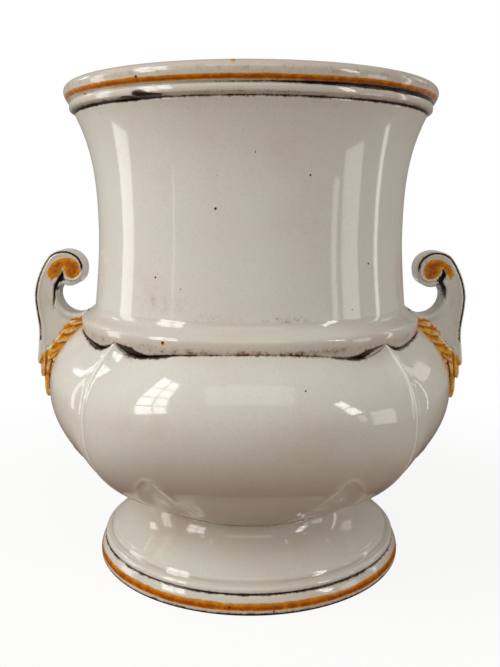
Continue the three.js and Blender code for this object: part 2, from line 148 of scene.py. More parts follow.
# A new object at the origin
def addObject(name, data):
    holder = bpy.data.objects.new(name, data)
    bpy.context.scene.collection.objects.link(holder)
    return holder


# Smooth faces, one material, and each paint mask as a value at every point
def dress(mesh, material, masks):
    mesh.polygons.foreach_set("use_smooth", [True] * len(mesh.polygons))
    for label, values in masks.items():
        layer = mesh.attributes.new(label, "FLOAT", "POINT")
        layer.data.foreach_set("value", np.asarray(values, np.float32))
    mesh.materials.clear()
    mesh.materials.append(material)


# A piece from points in mm and blocks of faces, each block an array of corner numbers. The volume is
# the sum of a . (b x c) over all triangles. Where it is negative, the faces look inwards and are turned.
def makePiece(name, points, blocks, material, masks=None):
    volume = sum(np.sum(points[block[:, 0]] * np.cross(points[block[:, k]], points[block[:, k + 1]]))
                 for block in blocks for k in range(1, block.shape[1] - 1))
    if volume < 0:
        blocks = [block[:, ::-1] for block in blocks]
    mesh = bpy.data.meshes.new(name)
    mesh.from_pydata((points * mm).tolist(), [], [face for block in blocks for face in block.tolist()])
    dress(mesh, material, masks or {})
    mesh.update()
    return addObject(name, mesh)


# Quads of a grid whose last row and last column may join its first ones
def gridFaces(columns, rows, joinColumns, joinRows):
    i, j = np.meshgrid(np.arange(columns if joinColumns else columns - 1),
                       np.arange(rows if joinRows else rows - 1), indexing="ij")
    i2, j2 = (i + 1) % columns, (j + 1) % rows
    quads = np.stack([i * rows + j, i2 * rows + j, i2 * rows + j2, i * rows + j2], -1)
    return quads.reshape(-1, 4)


# Triangles from a closed ring of point numbers to one point
def fan(ring, tip):
    return np.stack([ring, np.roll(ring, -1), np.full(len(ring), tip)], 1)


# Points of a radius and height at an angle: x = r sin(angle), y = -r cos(angle)
def aroundAxis(angles, radii, heights):
    return np.stack([radii * np.sin(angles), -radii * np.cos(angles), heights], -1).reshape(-1, 3)


# A closed outline in (radius, height) turned round the axis. wobble(angle, height) adds a little to
# the radius, as a thrown pot has, and paint(degrees, height, radius) gives the masks.
def turned(name, outline, columns, material, paint, wobble=None):
    angle = np.linspace(0, 2 * math.pi, columns, endpoint=False)
    angles, radii = np.meshgrid(angle, outline[:, 0], indexing="ij")
    heights = np.broadcast_to(outline[:, 1], radii.shape)
    if wobble:
        radii = radii + wobble(angles, heights)
    degrees = (np.degrees(angles) + 180) % 360 - 180
    masks = paint(degrees.ravel(), heights.ravel(), radii.ravel())
    faces = gridFaces(columns, len(outline), True, True)
    return makePiece(name, aroundAxis(angles, radii, heights), [faces], material, masks)


# Joins the points that lie on each other, then turns all faces outwards
def sealed(piece):
    work = bmesh.new()
    work.from_mesh(piece.data)
    bmesh.ops.remove_doubles(work, verts=work.verts, dist=1e-7)
    bmesh.ops.dissolve_degenerate(work, edges=work.edges, dist=1e-8)
    bmesh.ops.recalc_face_normals(work, faces=work.faces)
    work.to_mesh(piece.data)
    work.free()
    piece.data.polygons.foreach_set("use_smooth", [True] * len(piece.data.polygons))
    return piece


# Hands a piece over: everything rides on the root and takes the place of its CAD node
def finishPiece(piece, nodes):
    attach(piece, "root")
    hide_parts(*nodes)
    print(f"{piece.name}: {len(piece.data.polygons)} faces")


# Adds a node. Each input is a value or the (node, output) that it is linked to; stops are a colour
# ramp's, as (place, hex colour).
def addNode(tree, kind, inputs=None, stops=(), **settings):
    node = tree.nodes.new("ShaderNode" + kind)
    for key, value in settings.items():
        setattr(node, key, value)
    for key, value in (inputs or {}).items():
        if isinstance(value, tuple) and isinstance(value[0], bpy.types.Node):
            tree.links.new(value[0].outputs[value[1]], node.inputs[key])
        else:
            node.inputs[key].default_value = value
    if stops:
        ramp = node.color_ramp
        ramp.interpolation = "EASE"
        while len(ramp.elements) < len(stops):
            ramp.elements.new(0.5)
        for element, (place, colour) in zip(ramp.elements, stops):
            element.position, element.color = place, linear(colour)
    return node


# The empty node tree of a material or a world
def emptyTree(owner):
    owner.use_nodes = True
    owner.node_tree.nodes.clear()
    return owner.node_tree


# sockets of a Mix node that mixes colours: how much, the colour under it, the colour over it, the result
mixAmount, mixUnder, mixOver, mixResult = 0, 6, 7, 2

# Lengths are in mm, and each noise has its grain in mm, its detail and its roughness
glazeLook = {
    "ivory": "#d8d6ce", "warmIvory": "#d6cfc7", "coolIvory": "#d8d8d2",
    # the warm tint is multiplied in for the glaze's tone and for painted shade; the near-white is the colour
    # of painted highlights
    "grainDark": "#f4f0ea", "grainLight": "#ffffff", "toneAndShadeTint": "#b3957a", "highlightTint": "#f6f4ee",
    "pinhole": "#6b4c34", "iron": "#2a160c",
    "ochrePale": "#e0a012", "ochre": "#c97500", "ochreDeep": "#984900",
    "halo": "#8f7052", "brown": "#4a2e1b", "black": "#120906",
    "roughness": 0.06, "ior": 1.5,
    "noises": {"clouds": (45, 4.0, 0.6), "grain": (1.4, 3.0, 0.6), "streaks": (3.2, 4.0, 0.65),
               "mottle": (5.5, 5.0, 0.7), "speckle": (1.7, 5.0, 0.75), "drift": (6.0, 3.0, 0.6),
               "waves": (22, 2.0, 0.45), "peel": (2.6, 2.0, 0.5)},
    "speckCell": 10, "speckRadius": 0.42, "speckless": 0.83,
    "waveDepth": 0.05, "peelDepth": 0.004, "pitDepth": 0.12,
}

# Single specks of iron that fired dark brown, as (x, y, z, radius)
ironSpecks = [(-23, -120, 287, 0.9), (39, -117, 309, 0.85), (-65, -104, 240, 0.8), (-47, -114, 233, 0.5),
              (83, -90, 249, 0.75), (71, -103, 218, 0.5), (57, -110, 237, 0.4), (-86, -87, 260, 0.45),
              (3, -126, 323, 0.45), (-59, -124, 198, 0.95), (36, -151, 172, 0.6), (-73, -125, 369, 1.0),
              (-120, -77, 366, 0.9), (18, -126, 3, 0.8), (-14, -125, 6, 1.0), (-78, -144, 133, 0.45),
              (117, -114, 153, 0.8), (20, 121, 280, 0.8), (-60, 108, 250, 0.7), (84, 90, 300, 0.6),
              (30, 158, 130, 0.6), (-110, 85, 372, 0.8)]


# Tin glaze fired on earthenware: an opaque ivory glass, glossy and a little uneven, so reflections are
# sharp but waver, with brown pinholes. Ochre and manganese are painted on it where the piece's masks
# say, and their edges break up like brushed and pooled colour. Under them, as the masks say, a warm
# tint gives the glaze's own tone and painted shade, and a near-white gives painted highlights.
def tinGlaze(name, look):
    material = bpy.data.materials.new(name)
    tree = emptyTree(material)
    here = (addNode(tree, "TexCoord"), "Object")
    noise = {key: (addNode(tree, "TexNoise", {"Vector": here, "Scale": 1000 / grain, "Detail": detail,
                                              "Roughness": rough}), 0)
             for key, (grain, detail, rough) in look["noises"].items()}
    mask = {label: (addNode(tree, "Attribute", attribute_name=label), "Fac")
            for label in ("toneAndShade", "paintedHighlight", "ochre", "manganese")}

    # the body: ivory with warm and cool clouds and a fine grain
    clouds = addNode(tree, "ValToRGB", {"Fac": noise["clouds"]},
                     [(0.3, look["coolIvory"]), (0.5, look["ivory"]), (0.72, look["warmIvory"])])
    grain = addNode(tree, "ValToRGB", {"Fac": noise["grain"]},
                    [(0.3, look["grainDark"]), (0.6, look["grainLight"])])

    # brown pinholes: a few of the cells hold one round speck
    cells = addNode(tree, "TexVoronoi", {"Vector": here, "Scale": 1000 / look["speckCell"]})
    picked = addNode(tree, "Math", {0: (cells, "Color"), 1: look["speckless"]}, operation="GREATER_THAN")
    reach = look["speckRadius"] / look["speckCell"]
    close = addNode(tree, "MapRange", {"Value": (cells, "Distance"), "From Min": reach * 0.5,
                                       "From Max": reach * 1.5, "To Min": 1.0, "To Max": 0.0},
                    interpolation_type="SMOOTHSTEP")
    speck = addNode(tree, "Math", {0: (picked, 0), 1: (close, 0)}, operation="MULTIPLY")
    pinholes = addNode(tree, "Math", {0: (speck, 0), 1: 0.75}, operation="MULTIPLY")

    # ochre: mask + 0.9 * streaks gives its uneven edge, 0.8 * mask + 1.3 * (mottle - 0.5) its tone
    ochreEdge = addNode(tree, "Math", {0: noise["streaks"], 1: 0.9, 2: mask["ochre"]},
                        operation="MULTIPLY_ADD")
    ochreCover = addNode(tree, "MapRange", {"Value": (ochreEdge, 0), "From Min": 0.65, "From Max": 0.87},
                         interpolation_type="SMOOTHSTEP")
    mottle = addNode(tree, "Math", {0: noise["mottle"], 1: 1.3, 2: -0.65}, operation="MULTIPLY_ADD")
    thickness = addNode(tree, "Math", {0: mask["ochre"], 1: 0.8, 2: (mottle, 0)}, operation="MULTIPLY_ADD")
    ochreColour = addNode(tree, "ValToRGB", {"Fac": (thickness, 0)},
                          [(0.22, look["ochrePale"]), (0.5, look["ochre"]), (0.85, look["ochreDeep"])])

    # manganese: black where it pools, brown and speckled at its edge, which is mask + gate *
    # (1.2 * (speckle - 0.5) + drift - 0.5). The gate keeps specks off the bare glaze.
    drift = addNode(tree, "Math", {0: noise["drift"], 1: 1.1}, operation="SUBTRACT")
    spread = addNode(tree, "Math", {0: noise["speckle"], 1: 1.2, 2: (drift, 0)}, operation="MULTIPLY_ADD")
    gate = addNode(tree, "MapRange", {"Value": mask["manganese"], "From Min": 0.01, "From Max": 0.2})
    darkEdge = addNode(tree, "Math", {0: (spread, 0), 1: (gate, 0), 2: mask["manganese"]},
                       operation="MULTIPLY_ADD")
    darkCover = addNode(tree, "MapRange", {"Value": (darkEdge, 0), "From Min": 0.08, "From Max": 0.62},
                        interpolation_type="SMOOTHSTEP")
    pooled = addNode(tree, "Math", {0: mask["manganese"], 1: 0.6}, operation="MULTIPLY")
    darkTone = addNode(tree, "Math", {0: (darkEdge, 0), 1: 0.35, 2: (pooled, 0)}, operation="MULTIPLY_ADD")
    darkColour = addNode(tree, "ValToRGB", {"Fac": (darkTone, 0)},
                         [(0.22, look["halo"]), (0.5, look["brown"]), (0.84, look["black"])])
    darkColour.color_ramp.interpolation = "LINEAR"

    iron = 0.0
    for x, y, z, radius in ironSpecks:
        away = addNode(tree, "VectorMath", {0: here, 1: (x * mm, y * mm, z * mm)}, operation="DISTANCE")
        dot = addNode(tree, "MapRange", {"Value": (away, "Value"), "From Min": radius * 0.7 * mm,
                                         "From Max": radius * 1.35 * mm, "To Min": 1.0, "To Max": 0.0},
                      interpolation_type="SMOOTHSTEP")
        iron = (addNode(tree, "Math", {0: iron, 1: (dot, 0)}, operation="MAXIMUM"), 0)

    # the layers from the body up; the warm tint is the glaze's tone and painted shade, the near-white is
    # painted highlight
    colour = (clouds, 0)
    for amount, tone, way in ((0.55, (grain, 0), "MULTIPLY"),
                              (mask["toneAndShade"], linear(look["toneAndShadeTint"]), "MULTIPLY"),
                              (mask["paintedHighlight"], linear(look["highlightTint"]), "MIX"),
                              ((pinholes, 0), linear(look["pinhole"]), "MIX"),
                              ((ochreCover, 0), (ochreColour, 0), "MIX"),
                              ((darkCover, 0), (darkColour, 0), "MIX"),
                              (iron, linear(look["iron"]), "MIX")):
        colour = (addNode(tree, "Mix", data_type="RGBA", blend_type=way,
                          inputs={mixAmount: amount, mixUnder: colour, mixOver: tone}), mixResult)

    # height: slow waves of the thrown wall, a fine orange peel, and the pinholes pressed in
    normal = {}
    for height, depth, inwards in ((noise["waves"], look["waveDepth"], False),
                                   (noise["peel"], look["peelDepth"], False),
                                   ((speck, 0), look["pitDepth"], True)):
        bump = addNode(tree, "Bump", {"Height": height, "Strength": 1.0, "Distance": depth * mm, **normal},
                       invert=inwards)
        normal = {"Normal": (bump, 0)}

    # gloss: the clouds dull it a little, paint more
    dull = addNode(tree, "MapRange", {"Value": noise["clouds"], "From Min": 0.3, "From Max": 0.7,
                                      "To Min": look["roughness"], "To Max": look["roughness"] + 0.04})
    ochreDull = addNode(tree, "Math", {0: (ochreCover, 0), 1: 0.1, 2: (dull, 0)}, operation="MULTIPLY_ADD")
    rough = addNode(tree, "Math", {0: (darkCover, 0), 1: 0.12, 2: (ochreDull, 0)}, operation="MULTIPLY_ADD")
    shader = addNode(tree, "BsdfPrincipled", {"Base Color": colour, "Roughness": (rough, 0),
                                              "IOR": look["ior"], **normal})
    addNode(tree, "OutputMaterial", {"Surface": (shader, "BSDF")})
    return material


ivoryGlaze = tinGlaze("ivoryTinGlaze", glazeLook)
print("glaze mixed")

poolRadius = 137.0  # mm, turns degrees into mm along the joint of bowl and collar
# Brown and black pools along the joint of bowl and collar: (angle, height, half-width mm, strength)
poolLines = [
    [(-44.0, 192.6, 0.6, 0.5), (-41.6, 191.0, 1.5, 0.95), (-39.6, 189.6, 2.3, 1.2), (-37.4, 188.2, 2.6, 1.3),
     (-35.2, 187.0, 2.2, 1.2), (-33.0, 186.5, 1.5, 0.95), (-30.4, 186.7, 1.3, 0.75), (-26.9, 187.8, 1.3, 0.8),
     (-24.6, 188.8, 1.1, 0.7), (-21.4, 189.9, 0.9, 0.52), (-13.9, 191.3, 0.9, 0.4), (0.1, 192.4, 1.0, 0.38)],
    [(-45.0, 192.6, 0.5, 0.5), (-48.0, 188.9, 1.1, 0.7), (-51.5, 186.4, 1.6, 0.85), (-54.8, 186.0, 1.7, 0.95),
     (-58.5, 186.8, 1.5, 0.8), (-62.0, 188.0, 1.2, 0.6), (-68.0, 189.9, 1.1, 0.5), (-76.0, 191.4, 1.1, 0.46)],
    [(0.1, 192.4, 1.0, 0.38), (8.0, 192.2, 1.2, 0.44), (14.1, 191.4, 1.1, 0.42), (20.0, 189.8, 0.9, 0.4),
     (24.5, 188.3, 0.8, 0.45), (28.0, 186.9, 0.9, 0.55), (31.0, 186.2, 1.1, 0.7), (33.5, 186.3, 1.5, 0.9),
     (35.6, 187.4, 2.0, 1.15), (37.2, 188.7, 1.9, 1.1), (39.4, 190.3, 1.3, 0.85), (44.0, 192.6, 0.5, 0.5)],
    [(45.0, 192.6, 0.4, 0.5), (48.5, 188.6, 1.1, 0.75), (52.5, 186.2, 1.3, 0.7), (56.0, 186.1, 1.1, 0.52),
     (60.0, 187.5, 1.1, 0.46), (66.0, 189.5, 1.2, 0.46), (76.0, 191.4, 1.1, 0.44)],
]


# A brushed stripe between two heights: thin and golden at its upper edge, thick and deep low down
def brushed(heights, low, high, soft=0.3):
    inside = ease(heights, low - soft, low + soft) * (1 - ease(heights, high - soft, high + soft))
    share = np.clip((heights - low) / (high - low), 0, 1)
    return inside * (0.5 + 0.5 * ease(share, 0.0, 0.3) * (1 - ease(share, 0.35, 1.0)))


# A painted line: a bell over its half-width in mm, and a faint haze that falls off beside it
def stroke(distance, half):
    return bell(distance, 0, half) + 0.27 * np.exp(-np.abs(distance) / (2 * half + 0.3))


# The strongest stroke of any pool line at each place, with the width and strength of the nearest
# place on the line. The back repeats the front.
def poolMask(degrees, heights):
    folded = np.where(np.abs(degrees) > 90, np.sign(degrees) * (180 - np.abs(degrees)), degrees)
    turn = math.radians(1) * poolRadius
    places = np.stack([folded * turn, heights], 1)
    strongest = np.zeros(len(degrees))
    for pools in poolLines:
        angles, middles, halves, powers = np.array(pools).T
        line = np.stack([angles * turn, middles], 1)
        away, along = nearLine(places, line)
        walked = walkedAlong(line)
        half, power = (np.interp(along, walked / walked[-1], values) for values in (halves, powers))
        strongest = np.maximum(strongest, power * stroke(away, half))
    return strongest


# Single specks and drops, the strongest bell of any: (angle, height, radius mm, strength)
def spotMask(degrees, heights, radius, spots):
    strongest = np.zeros(len(degrees))
    for angle, height, size, power in spots:
        aside = (degrees - angle + 180) % 360 - 180
        away = np.hypot(np.radians(aside) * radius, heights - height)
        strongest = np.maximum(strongest, power * bell(away, 0, size))
    return strongest


# A tint in bands round a piece, the sum of strength * bell(height): rows of (height, reach in mm, strength)
def bands(heights, rows):
    return sum(power * bell(heights, height, reach) for height, reach, power in rows)


# A tint in clouds, which fade with the angle too: rows of (angle, half angle, height, reach, strength)
def clouds(degrees, heights, rows):
    return sum(power * bell(degrees, angle, wide) * bell(heights, height, reach)
               for angle, wide, height, reach, power in rows)


foot = {"radius": 127.0, "neckRadius": 87.0, "height": 50.5, "chamfer": 0.8, "rollHeight": 13.4,
        "rollFullest": 3.0, "rollInset": 3.7, "upperRoll": 8.8, "upperInset": 7.8, "grooveDepth": 1.1,
        "grooveWidth": 1.8, "ringWidth": 15.0, "wall": 9.0, "seatWidth": 17.0, "columns": 256,
        "stripeLow": 3.7, "stripeHigh": 9.0, "dust": [(15.0, 3.4, 0.12)], "stepShade": [(20.7, 1.0, 0.4)],
        "coveShade": (26, 42)}


# Outline: flat ring, striped roll, groove, second roll, cove up to the seat, and the hollow inside
def footOutline(s):
    rollTop = (s["radius"] - s["rollInset"], s["rollHeight"])
    upperStart = (rollTop[0] - 0.4, rollTop[1] + s["grooveWidth"])
    upperTop = (rollTop[0] - s["upperInset"], upperStart[1] + s["upperRoll"])
    cove = (upperTop[0] - 1.6, upperTop[1] + 1.1)
    bead = (upperStart[0] - 2.1, upperStart[1] + 4.0)
    run, rise = cove[0] - s["neckRadius"], s["height"] - cove[1]
    ringInner = s["radius"] - s["chamfer"] - s["ringWidth"]
    bore = s["neckRadius"] - s["seatWidth"]
    roof = s["height"] - s["wall"]
    out = s["radius"]
    flat = evenly([(ringInner, 0), (out - s["chamfer"], 0)], 6)
    full = (out, s["rollFullest"])
    dip = (rollTop[0] - s["grooveDepth"], rollTop[1] + s["grooveWidth"] / 2)
    return np.vstack([
        flat,
        bend(flat[-1], (out - 0.25, 0.2), (out, 0.6), full, 8),
        bend(full, (out, rollTop[1] * 0.5), (rollTop[0] + 1.2, rollTop[1] * 0.9), rollTop, 26),
        bend(rollTop, (rollTop[0] - 0.4, rollTop[1] + 0.15), (dip[0], dip[1] - 0.5), dip, 6),
        bend(dip, (dip[0], dip[1] + 0.5), (upperStart[0] - 0.4, upperStart[1] - 0.1), upperStart, 6),
        bend(upperStart, (upperStart[0] + 0.1, upperStart[1] + 2.4),
             (bead[0] + 1.3, bead[1] - 1.0), bead, 14),
        bend(bead, (bead[0] - 3.6, bead[1] - 0.1), (upperTop[0] + 1.6, upperTop[1] + 0.1), upperTop, 16),
        bend(upperTop, (upperTop[0] - 0.6, upperTop[1] + 0.34), (cove[0] + 0.4, cove[1] - 0.3), cove, 8),
        bend(cove, (cove[0] - run * 0.45, cove[1] + rise * 0.26),
             (s["neckRadius"] + run * 0.05, cove[1] + rise * 0.55), (s["neckRadius"], s["height"]), 40),
        evenly([(s["neckRadius"], s["height"]), (bore, s["height"]), (bore, roof)], 8)[1:],
        bend((bore, roof), (bore + s["wall"], roof), (ringInner - s["wall"], s["wall"]),
             (ringInner, 0), 24)[:-1],
    ])


# A dark edge at the table, the brushed ochre stripe, and brown in the groove and under the bowl: the
# strongest of strokes and bells over the height, each made uneven by ragged(angle). A warm tint over
# the whole foot, most in the cove and in the shallow hollow above the bead, is painted shade from the bowl
# above.
def footPaint(degrees, heights, radii):
    s = foot
    turn = np.radians(degrees)
    outside = radii > s["neckRadius"] - 0.5
    low = s["stripeLow"] + 0.35 * ragged(turn, 1, 26)
    high = s["stripeHigh"] + 0.4 * ragged(turn, 2, 30)
    ochre = brushed(heights, low, high, 0.35)
    grooveMiddle = s["rollHeight"] + s["grooveWidth"] / 2 + 0.15 * ragged(turn, 4, 60)
    grooveHalf = 0.75 + 0.2 * ragged(turn, 5, 50)
    groove = (0.8 + 0.32 * ragged(turn, 3, 90)) * stroke(heights - grooveMiddle, grooveHalf)
    dust = bands(heights, s["dust"])
    tableEdge = (1.0 + 0.25 * ragged(turn, 12, 60)) * stroke(heights, 1.5)
    contact = 0.24 * stroke(heights - s["height"] - 0.4, 0.8)
    darkStripe = 0.3 * bell(heights, high, 0.5) * ease(np.sin(turn + 2.2), 0.2, 0.9)
    manganese = np.max([groove, dust, tableEdge, contact, darkStripe], 0)
    # painted shade from the bowl above: a little over the whole foot, more in the cove and in the shallow
    # hollow above the bead
    toneAndShade = 0.06 + np.maximum(0.27 * ease(heights, *s["coveShade"]), bands(heights, s["stepShade"]))
    return {"ochre": ochre * outside, "manganese": manganese * outside, "toneAndShade": toneAndShade * outside}


footPiece = turned("footGlazed", footOutline(foot), foot["columns"], ivoryGlaze, footPaint)
finishPiece(footPiece, ["foot"])

bowl = {"seat": 50.5, "height": 142.0, "collarSeat": 183.0, "wall": 9.0, "floor": 11.0, "footRadius": 87.0,
        "shoulderRadius": 136.6, "lobeRadius": 163.68, "lobeWidest": 94.5, "lobePowers": (2.0, 2.15),
        "crestRadius": 165.3, "crestWidest": 86.5, "crestPowers": (2.3, 2.3),
        "spreadFront": 18.0, "spreadSide": 8.0, "arrisHeight": 1.5, "arrisHalf": 0.55,
        "coveDepth": 1.6, "coveAngle": 2.2, "stepDepth": 0.55, "stepAngle": 0.9, "stepDrift": 2.9,
        "stepFrom": (118, 150), "driftFrom": (140, 188),
        "edgeDip": 7.0, "dipAngle": 9.0, "dipReach": 48.0, "dipPower": 1.35,
        "thumbDepth": 5.4, "thumbReach": 7.0, "thumbTop": 112, "thumbLip": 1.0,
        "spandrelDepth": 0.16, "spandrelFrom": (166, 178), "spandrelTop": 192.4,
        "throat": 118.0, "socket": 135.2, "spigot": 69.4, "spigotDepth": 4.0, "rows": 170,
        # columns on either side of an arris, in degrees from it: close together near it, then evenly
        "nearArris": [0, 0.22, 0.45, 0.7, 1.0, 1.35, 1.75, 2.2, 2.7, 3.25, 3.85, 4.5, 5.2, 6.0, 6.9],
        "evenColumns": 38,
        # where the brown line beside a leaf begins and ends, and how far it is from the leaf's middle
        "leafLineFrom": (130, 140), "leafLineTo": (188, 194),
        "leafAt": [128, 134, 160, 190], "leafHalf": [1.5, 2.6, 4.6, 5.2],
        # the fade and band of painted shade, and the heights where the painted highlights begin
        "hollowDust": [(24, 5, 59, 9, 0.04)], "warmFade": (58, 112), "warmBand": [(190, 5, 0.1)],
        "paleFrom": (60, 78), "paleLipFrom": (51, 58)}

# Outline of the thumb hollow beside each arris, as (degrees from the middle of the lobe, height);
# the first half is its crisp side
thumbOutline = np.array([(6.0, 46.0), (11.6, 51.5), (16.5, 53.0), (20.0, 58.0), (21.8, 67.0), (23.0, 80.0),
                         (24.2, 91.0), (25.3, 99.0), (26.8, 103.8), (28.8, 102.6), (31.4, 97.0), (35.0, 87.0),
                         (38.5, 75.0), (41.5, 63.0), (43.0, 46.0)])
thumbScale = 2.36  # mm to a degree there
# The soft edge of the flat beside each ridge tip, as (degrees from the middle of the lobe, height)
spandrelEdge = np.array([(11.0, 194.0), (15.0, 192.6), (19.0, 190.2), (23.0, 186.8), (27.5, 181.6),
                         (31.5, 176.2), (34.5, 170.5), (36.5, 163.0)])


# Distance into the thumb hollow in mm (negative outside it), and the place along its outline
def thumbInward(middle, z):
    places = np.stack([np.ravel(middle) * thumbScale, np.ravel(z)], 1)
    line = curveThrough(thumbOutline * [thumbScale, 1], 90)
    away, along = nearLine(places, line)
    inward = away * np.where(insideOf(places, line), 1, -1)
    return inward.reshape(np.shape(z)), along.reshape(np.shape(z))


# Degrees past the nearest arris, above 0 on the side of the handles
def pastArris(degrees):
    return np.abs((degrees + 90) % 180 - 90) - 45


# Outside of the bowl: lobes blended into the crest under each arris by a bell, then the thin arris,
# the cove and step beside it, the thumb hollows over the foot, and the edge that dips beside each tip
def bowlSurface(degrees, height, s):
    offset = pastArris(degrees)
    away = np.abs(offset)
    spread = np.where(offset > 0, s["spreadSide"], s["spreadFront"])
    rise = height / s["height"]
    relief = ease(rise, 0, 0.12) * ease(1 - rise, 0, 0.05)
    ends = (s["footRadius"], s["shoulderRadius"])
    lobe = swelling(height, s["height"], s["lobeRadius"], s["lobeWidest"], ends, s["lobePowers"])
    crest = swelling(height, s["height"], s["crestRadius"], s["crestWidest"], ends, s["crestPowers"])
    radius = lobe + (crest - s["arrisHeight"] * relief - lobe) * bell(away, 0, spread)
    arris = 0.75 * bell(away, 0, s["arrisHalf"]) + 0.25 * bell(away, 0, 1.6)
    radius = radius + s["arrisHeight"] * relief * arris
    side = offset > 0
    z = s["seat"] + height
    cove = s["coveDepth"] * relief * ease(rise, 0.3, 0.8) * bell(offset, s["coveAngle"], s["coveAngle"])
    stepAt = s["stepAngle"] + s["stepDrift"] * ease(z, *s["driftFrom"])
    onStep = 1 - ease(np.abs(offset - stepAt), 0.0, 0.45)
    step = s["stepDepth"] * relief * ease(z, *s["stepFrom"]) * onStep
    radius = radius - np.where(side, cove - step, 0)
    middle = 45 - away
    inward, alongHollow = thumbInward(middle, z)
    press = ease(height, 0.5, 7) * ease(away, 1.5, 13)
    radius = radius - s["thumbDepth"] * press * ease(inward, -0.2, s["thumbReach"]) ** 0.85
    crisp = ease(alongHollow, 0.03, 0.12) * (1 - ease(alongHollow, 0.45, 0.62))
    radius = radius + s["thumbLip"] * crisp * bell(inward, -1.4, 1.5) * ease(height, 1, 6)
    flatFrom = np.interp(z, spandrelEdge[::-1, 1], spandrelEdge[::-1, 0])
    spandrel = ease(middle, flatFrom - 0.6, flatFrom + 2.2) * ease(z, *s["spandrelFrom"]) * ease(away, 1.0, 7)
    spandrel = spandrel * ease(s["spandrelTop"] - z, 0, 3)
    radius = radius - np.where(side, 0.6, 1.0) * s["spandrelDepth"] * spandrel
    share = away / s["dipAngle"]
    fade = ease(1 - (s["height"] - height) / s["dipReach"], 0, 1)
    dip = s["edgeDip"] * (share * np.exp(1 - share)) ** s["dipPower"] * fade
    return radius, z - dip


# Inside of the bowl from under the collar down to the floor
def bowlInside(s):
    floorZ = s["seat"] + s["floor"]
    seat, wall = s["collarSeat"], s["wall"]
    lip = (s["throat"], seat - wall * 0.4)
    wide = s["lobeRadius"] - wall
    wideZ = s["seat"] + s["lobeWidest"]
    floorRadius = s["footRadius"] - wall
    return np.vstack([
        [lip],
        bend(lip, (lip[0] + (wide - lip[0]) * 0.8, seat - wall * 0.7),
             (wide, wideZ + (seat - wideZ) * 0.45), (wide, wideZ), 14),
        bend((wide, wideZ), (wide, wideZ - s["lobeWidest"] * 0.42),
             (floorRadius + (wide - floorRadius) * 0.34, floorZ + s["floor"] * 0.55),
             (floorRadius, floorZ), 18),
        [(floorRadius * 0.6, floorZ), (floorRadius * 0.25, floorZ)],
    ])


# The bowl as one grid of columns round the axis: spigot, outside, socket and inside, closed by a fan
# at the bottom and on the floor. Its rows lie closer together towards both ends.
def buildBowl(s, material):
    offsets = np.concatenate([s["nearArris"], np.linspace(7.9, 44.1, s["evenColumns"])])
    quarter = np.concatenate([[0], 45 - offsets[:0:-1], 45 + offsets])
    angles = ((quarter + 90 * np.arange(4)[:, None]).ravel() + 180) % 360 - 180
    share = np.linspace(0, 1, s["rows"])
    rowHeights = s["height"] * (share - np.sin(2 * np.pi * share) / 16)
    outer = np.stack(bowlSurface(*np.meshgrid(angles, rowHeights, indexing="ij"), s), -1)
    bottom, floor = s["seat"] - s["spigotDepth"], s["seat"] + s["floor"]
    below = np.array([(s["spigot"] * 0.5, bottom), (s["spigot"], bottom), (s["spigot"], s["seat"])])
    above = np.vstack([[(s["socket"], s["collarSeat"]), (s["throat"], s["collarSeat"])], bowlInside(s)])
    outline = np.concatenate([np.broadcast_to(below, (len(angles), *below.shape)), outer,
                              np.broadcast_to(above, (len(angles), *above.shape))], 1)
    radii, heights = outline[..., 0], outline[..., 1]
    rows = outline.shape[1]
    tips = [(0, 0, bottom), (0, 0, floor)]
    points = np.vstack([aroundAxis(np.radians(angles)[:, None], radii, heights), tips])
    ring = np.arange(len(angles)) * rows
    blocks = [gridFaces(len(angles), rows, True, False), fan(ring, radii.size)[:, ::-1],
              fan(ring + rows - 1, radii.size + 1)]
    isOuter = np.zeros(radii.shape)
    isOuter[:, len(below):len(below) + s["rows"]] = 1
    masks = bowlPaint(np.append(np.repeat(angles, rows), [0, 0]), np.append(heights, [bottom, floor]),
                      np.append(isOuter, [0, 0]))
    return makePiece("bowlGlazed", points, blocks, material, masks)


# Pools at the collar, brown along the foot, painted shade that warms and darkens the bowl low down and
# in a band under the collar, painted highlights on the arrises, along the crisp lips of the thumb
# hollows and inside them, and the brown line beside each leaf: bells and strokes
def bowlPaint(degrees, heights, isOuter):
    s = bowl
    offset = pastArris(degrees)
    middle = 45 - np.abs(offset)
    low = heights < s["thumbTop"]
    inward = np.full(len(degrees), -9.0)
    inward[low] = thumbInward(middle[low], heights[low])[0]
    contact = 0.24 * bell(heights, s["seat"], 0.9)
    hollow = ease(inward, 0.2, 2.0) * clouds(middle, heights, s["hollowDust"])
    bottomEdge = 0.3 * bell(heights, s["seat"] + 1.5, 1.5) * ease(middle, 8, 22)
    fromLeaf = np.abs(np.abs((degrees + 180) % 360 - 180) - 90)
    leafLine = 0.7 * bell(fromLeaf, np.interp(heights, s["leafAt"], s["leafHalf"]), 0.45)
    leafLine = leafLine * ease(heights, *s["leafLineFrom"]) * (1 - ease(heights, *s["leafLineTo"]))
    manganese = np.max([poolMask(degrees, heights), contact, hollow, bottomEdge, leafLine], 0)
    # painted shade: warmer and darker towards the foot, and in a band just under the collar
    toneAndShade = 0.3 * (1 - ease(heights, *s["warmFade"])) + bands(heights, s["warmBand"])
    # painted highlights: a thin line down each arris, a band along the crisp lip of each thumb hollow, and a
    # lighter inside to the hollow
    highlights = bell(offset, 0.0, 0.42) * ease(heights, *s["paleFrom"])
    highlights = highlights + 0.75 * bell(inward, -1.3, 1.6) * ease(heights, *s["paleLipFrom"])
    paintedHighlight = np.maximum(highlights, 0.4 * ease(inward, 0.0, 3.0))
    return {"manganese": manganese * isOuter, "toneAndShade": toneAndShade * isOuter, "paintedHighlight": paintedHighlight * isOuter,
            "ochre": np.zeros(len(degrees))}


bowlPiece = buildBowl(bowl, ivoryGlaze)
finishPiece(bowlPiece, ["lobed_bowl"])

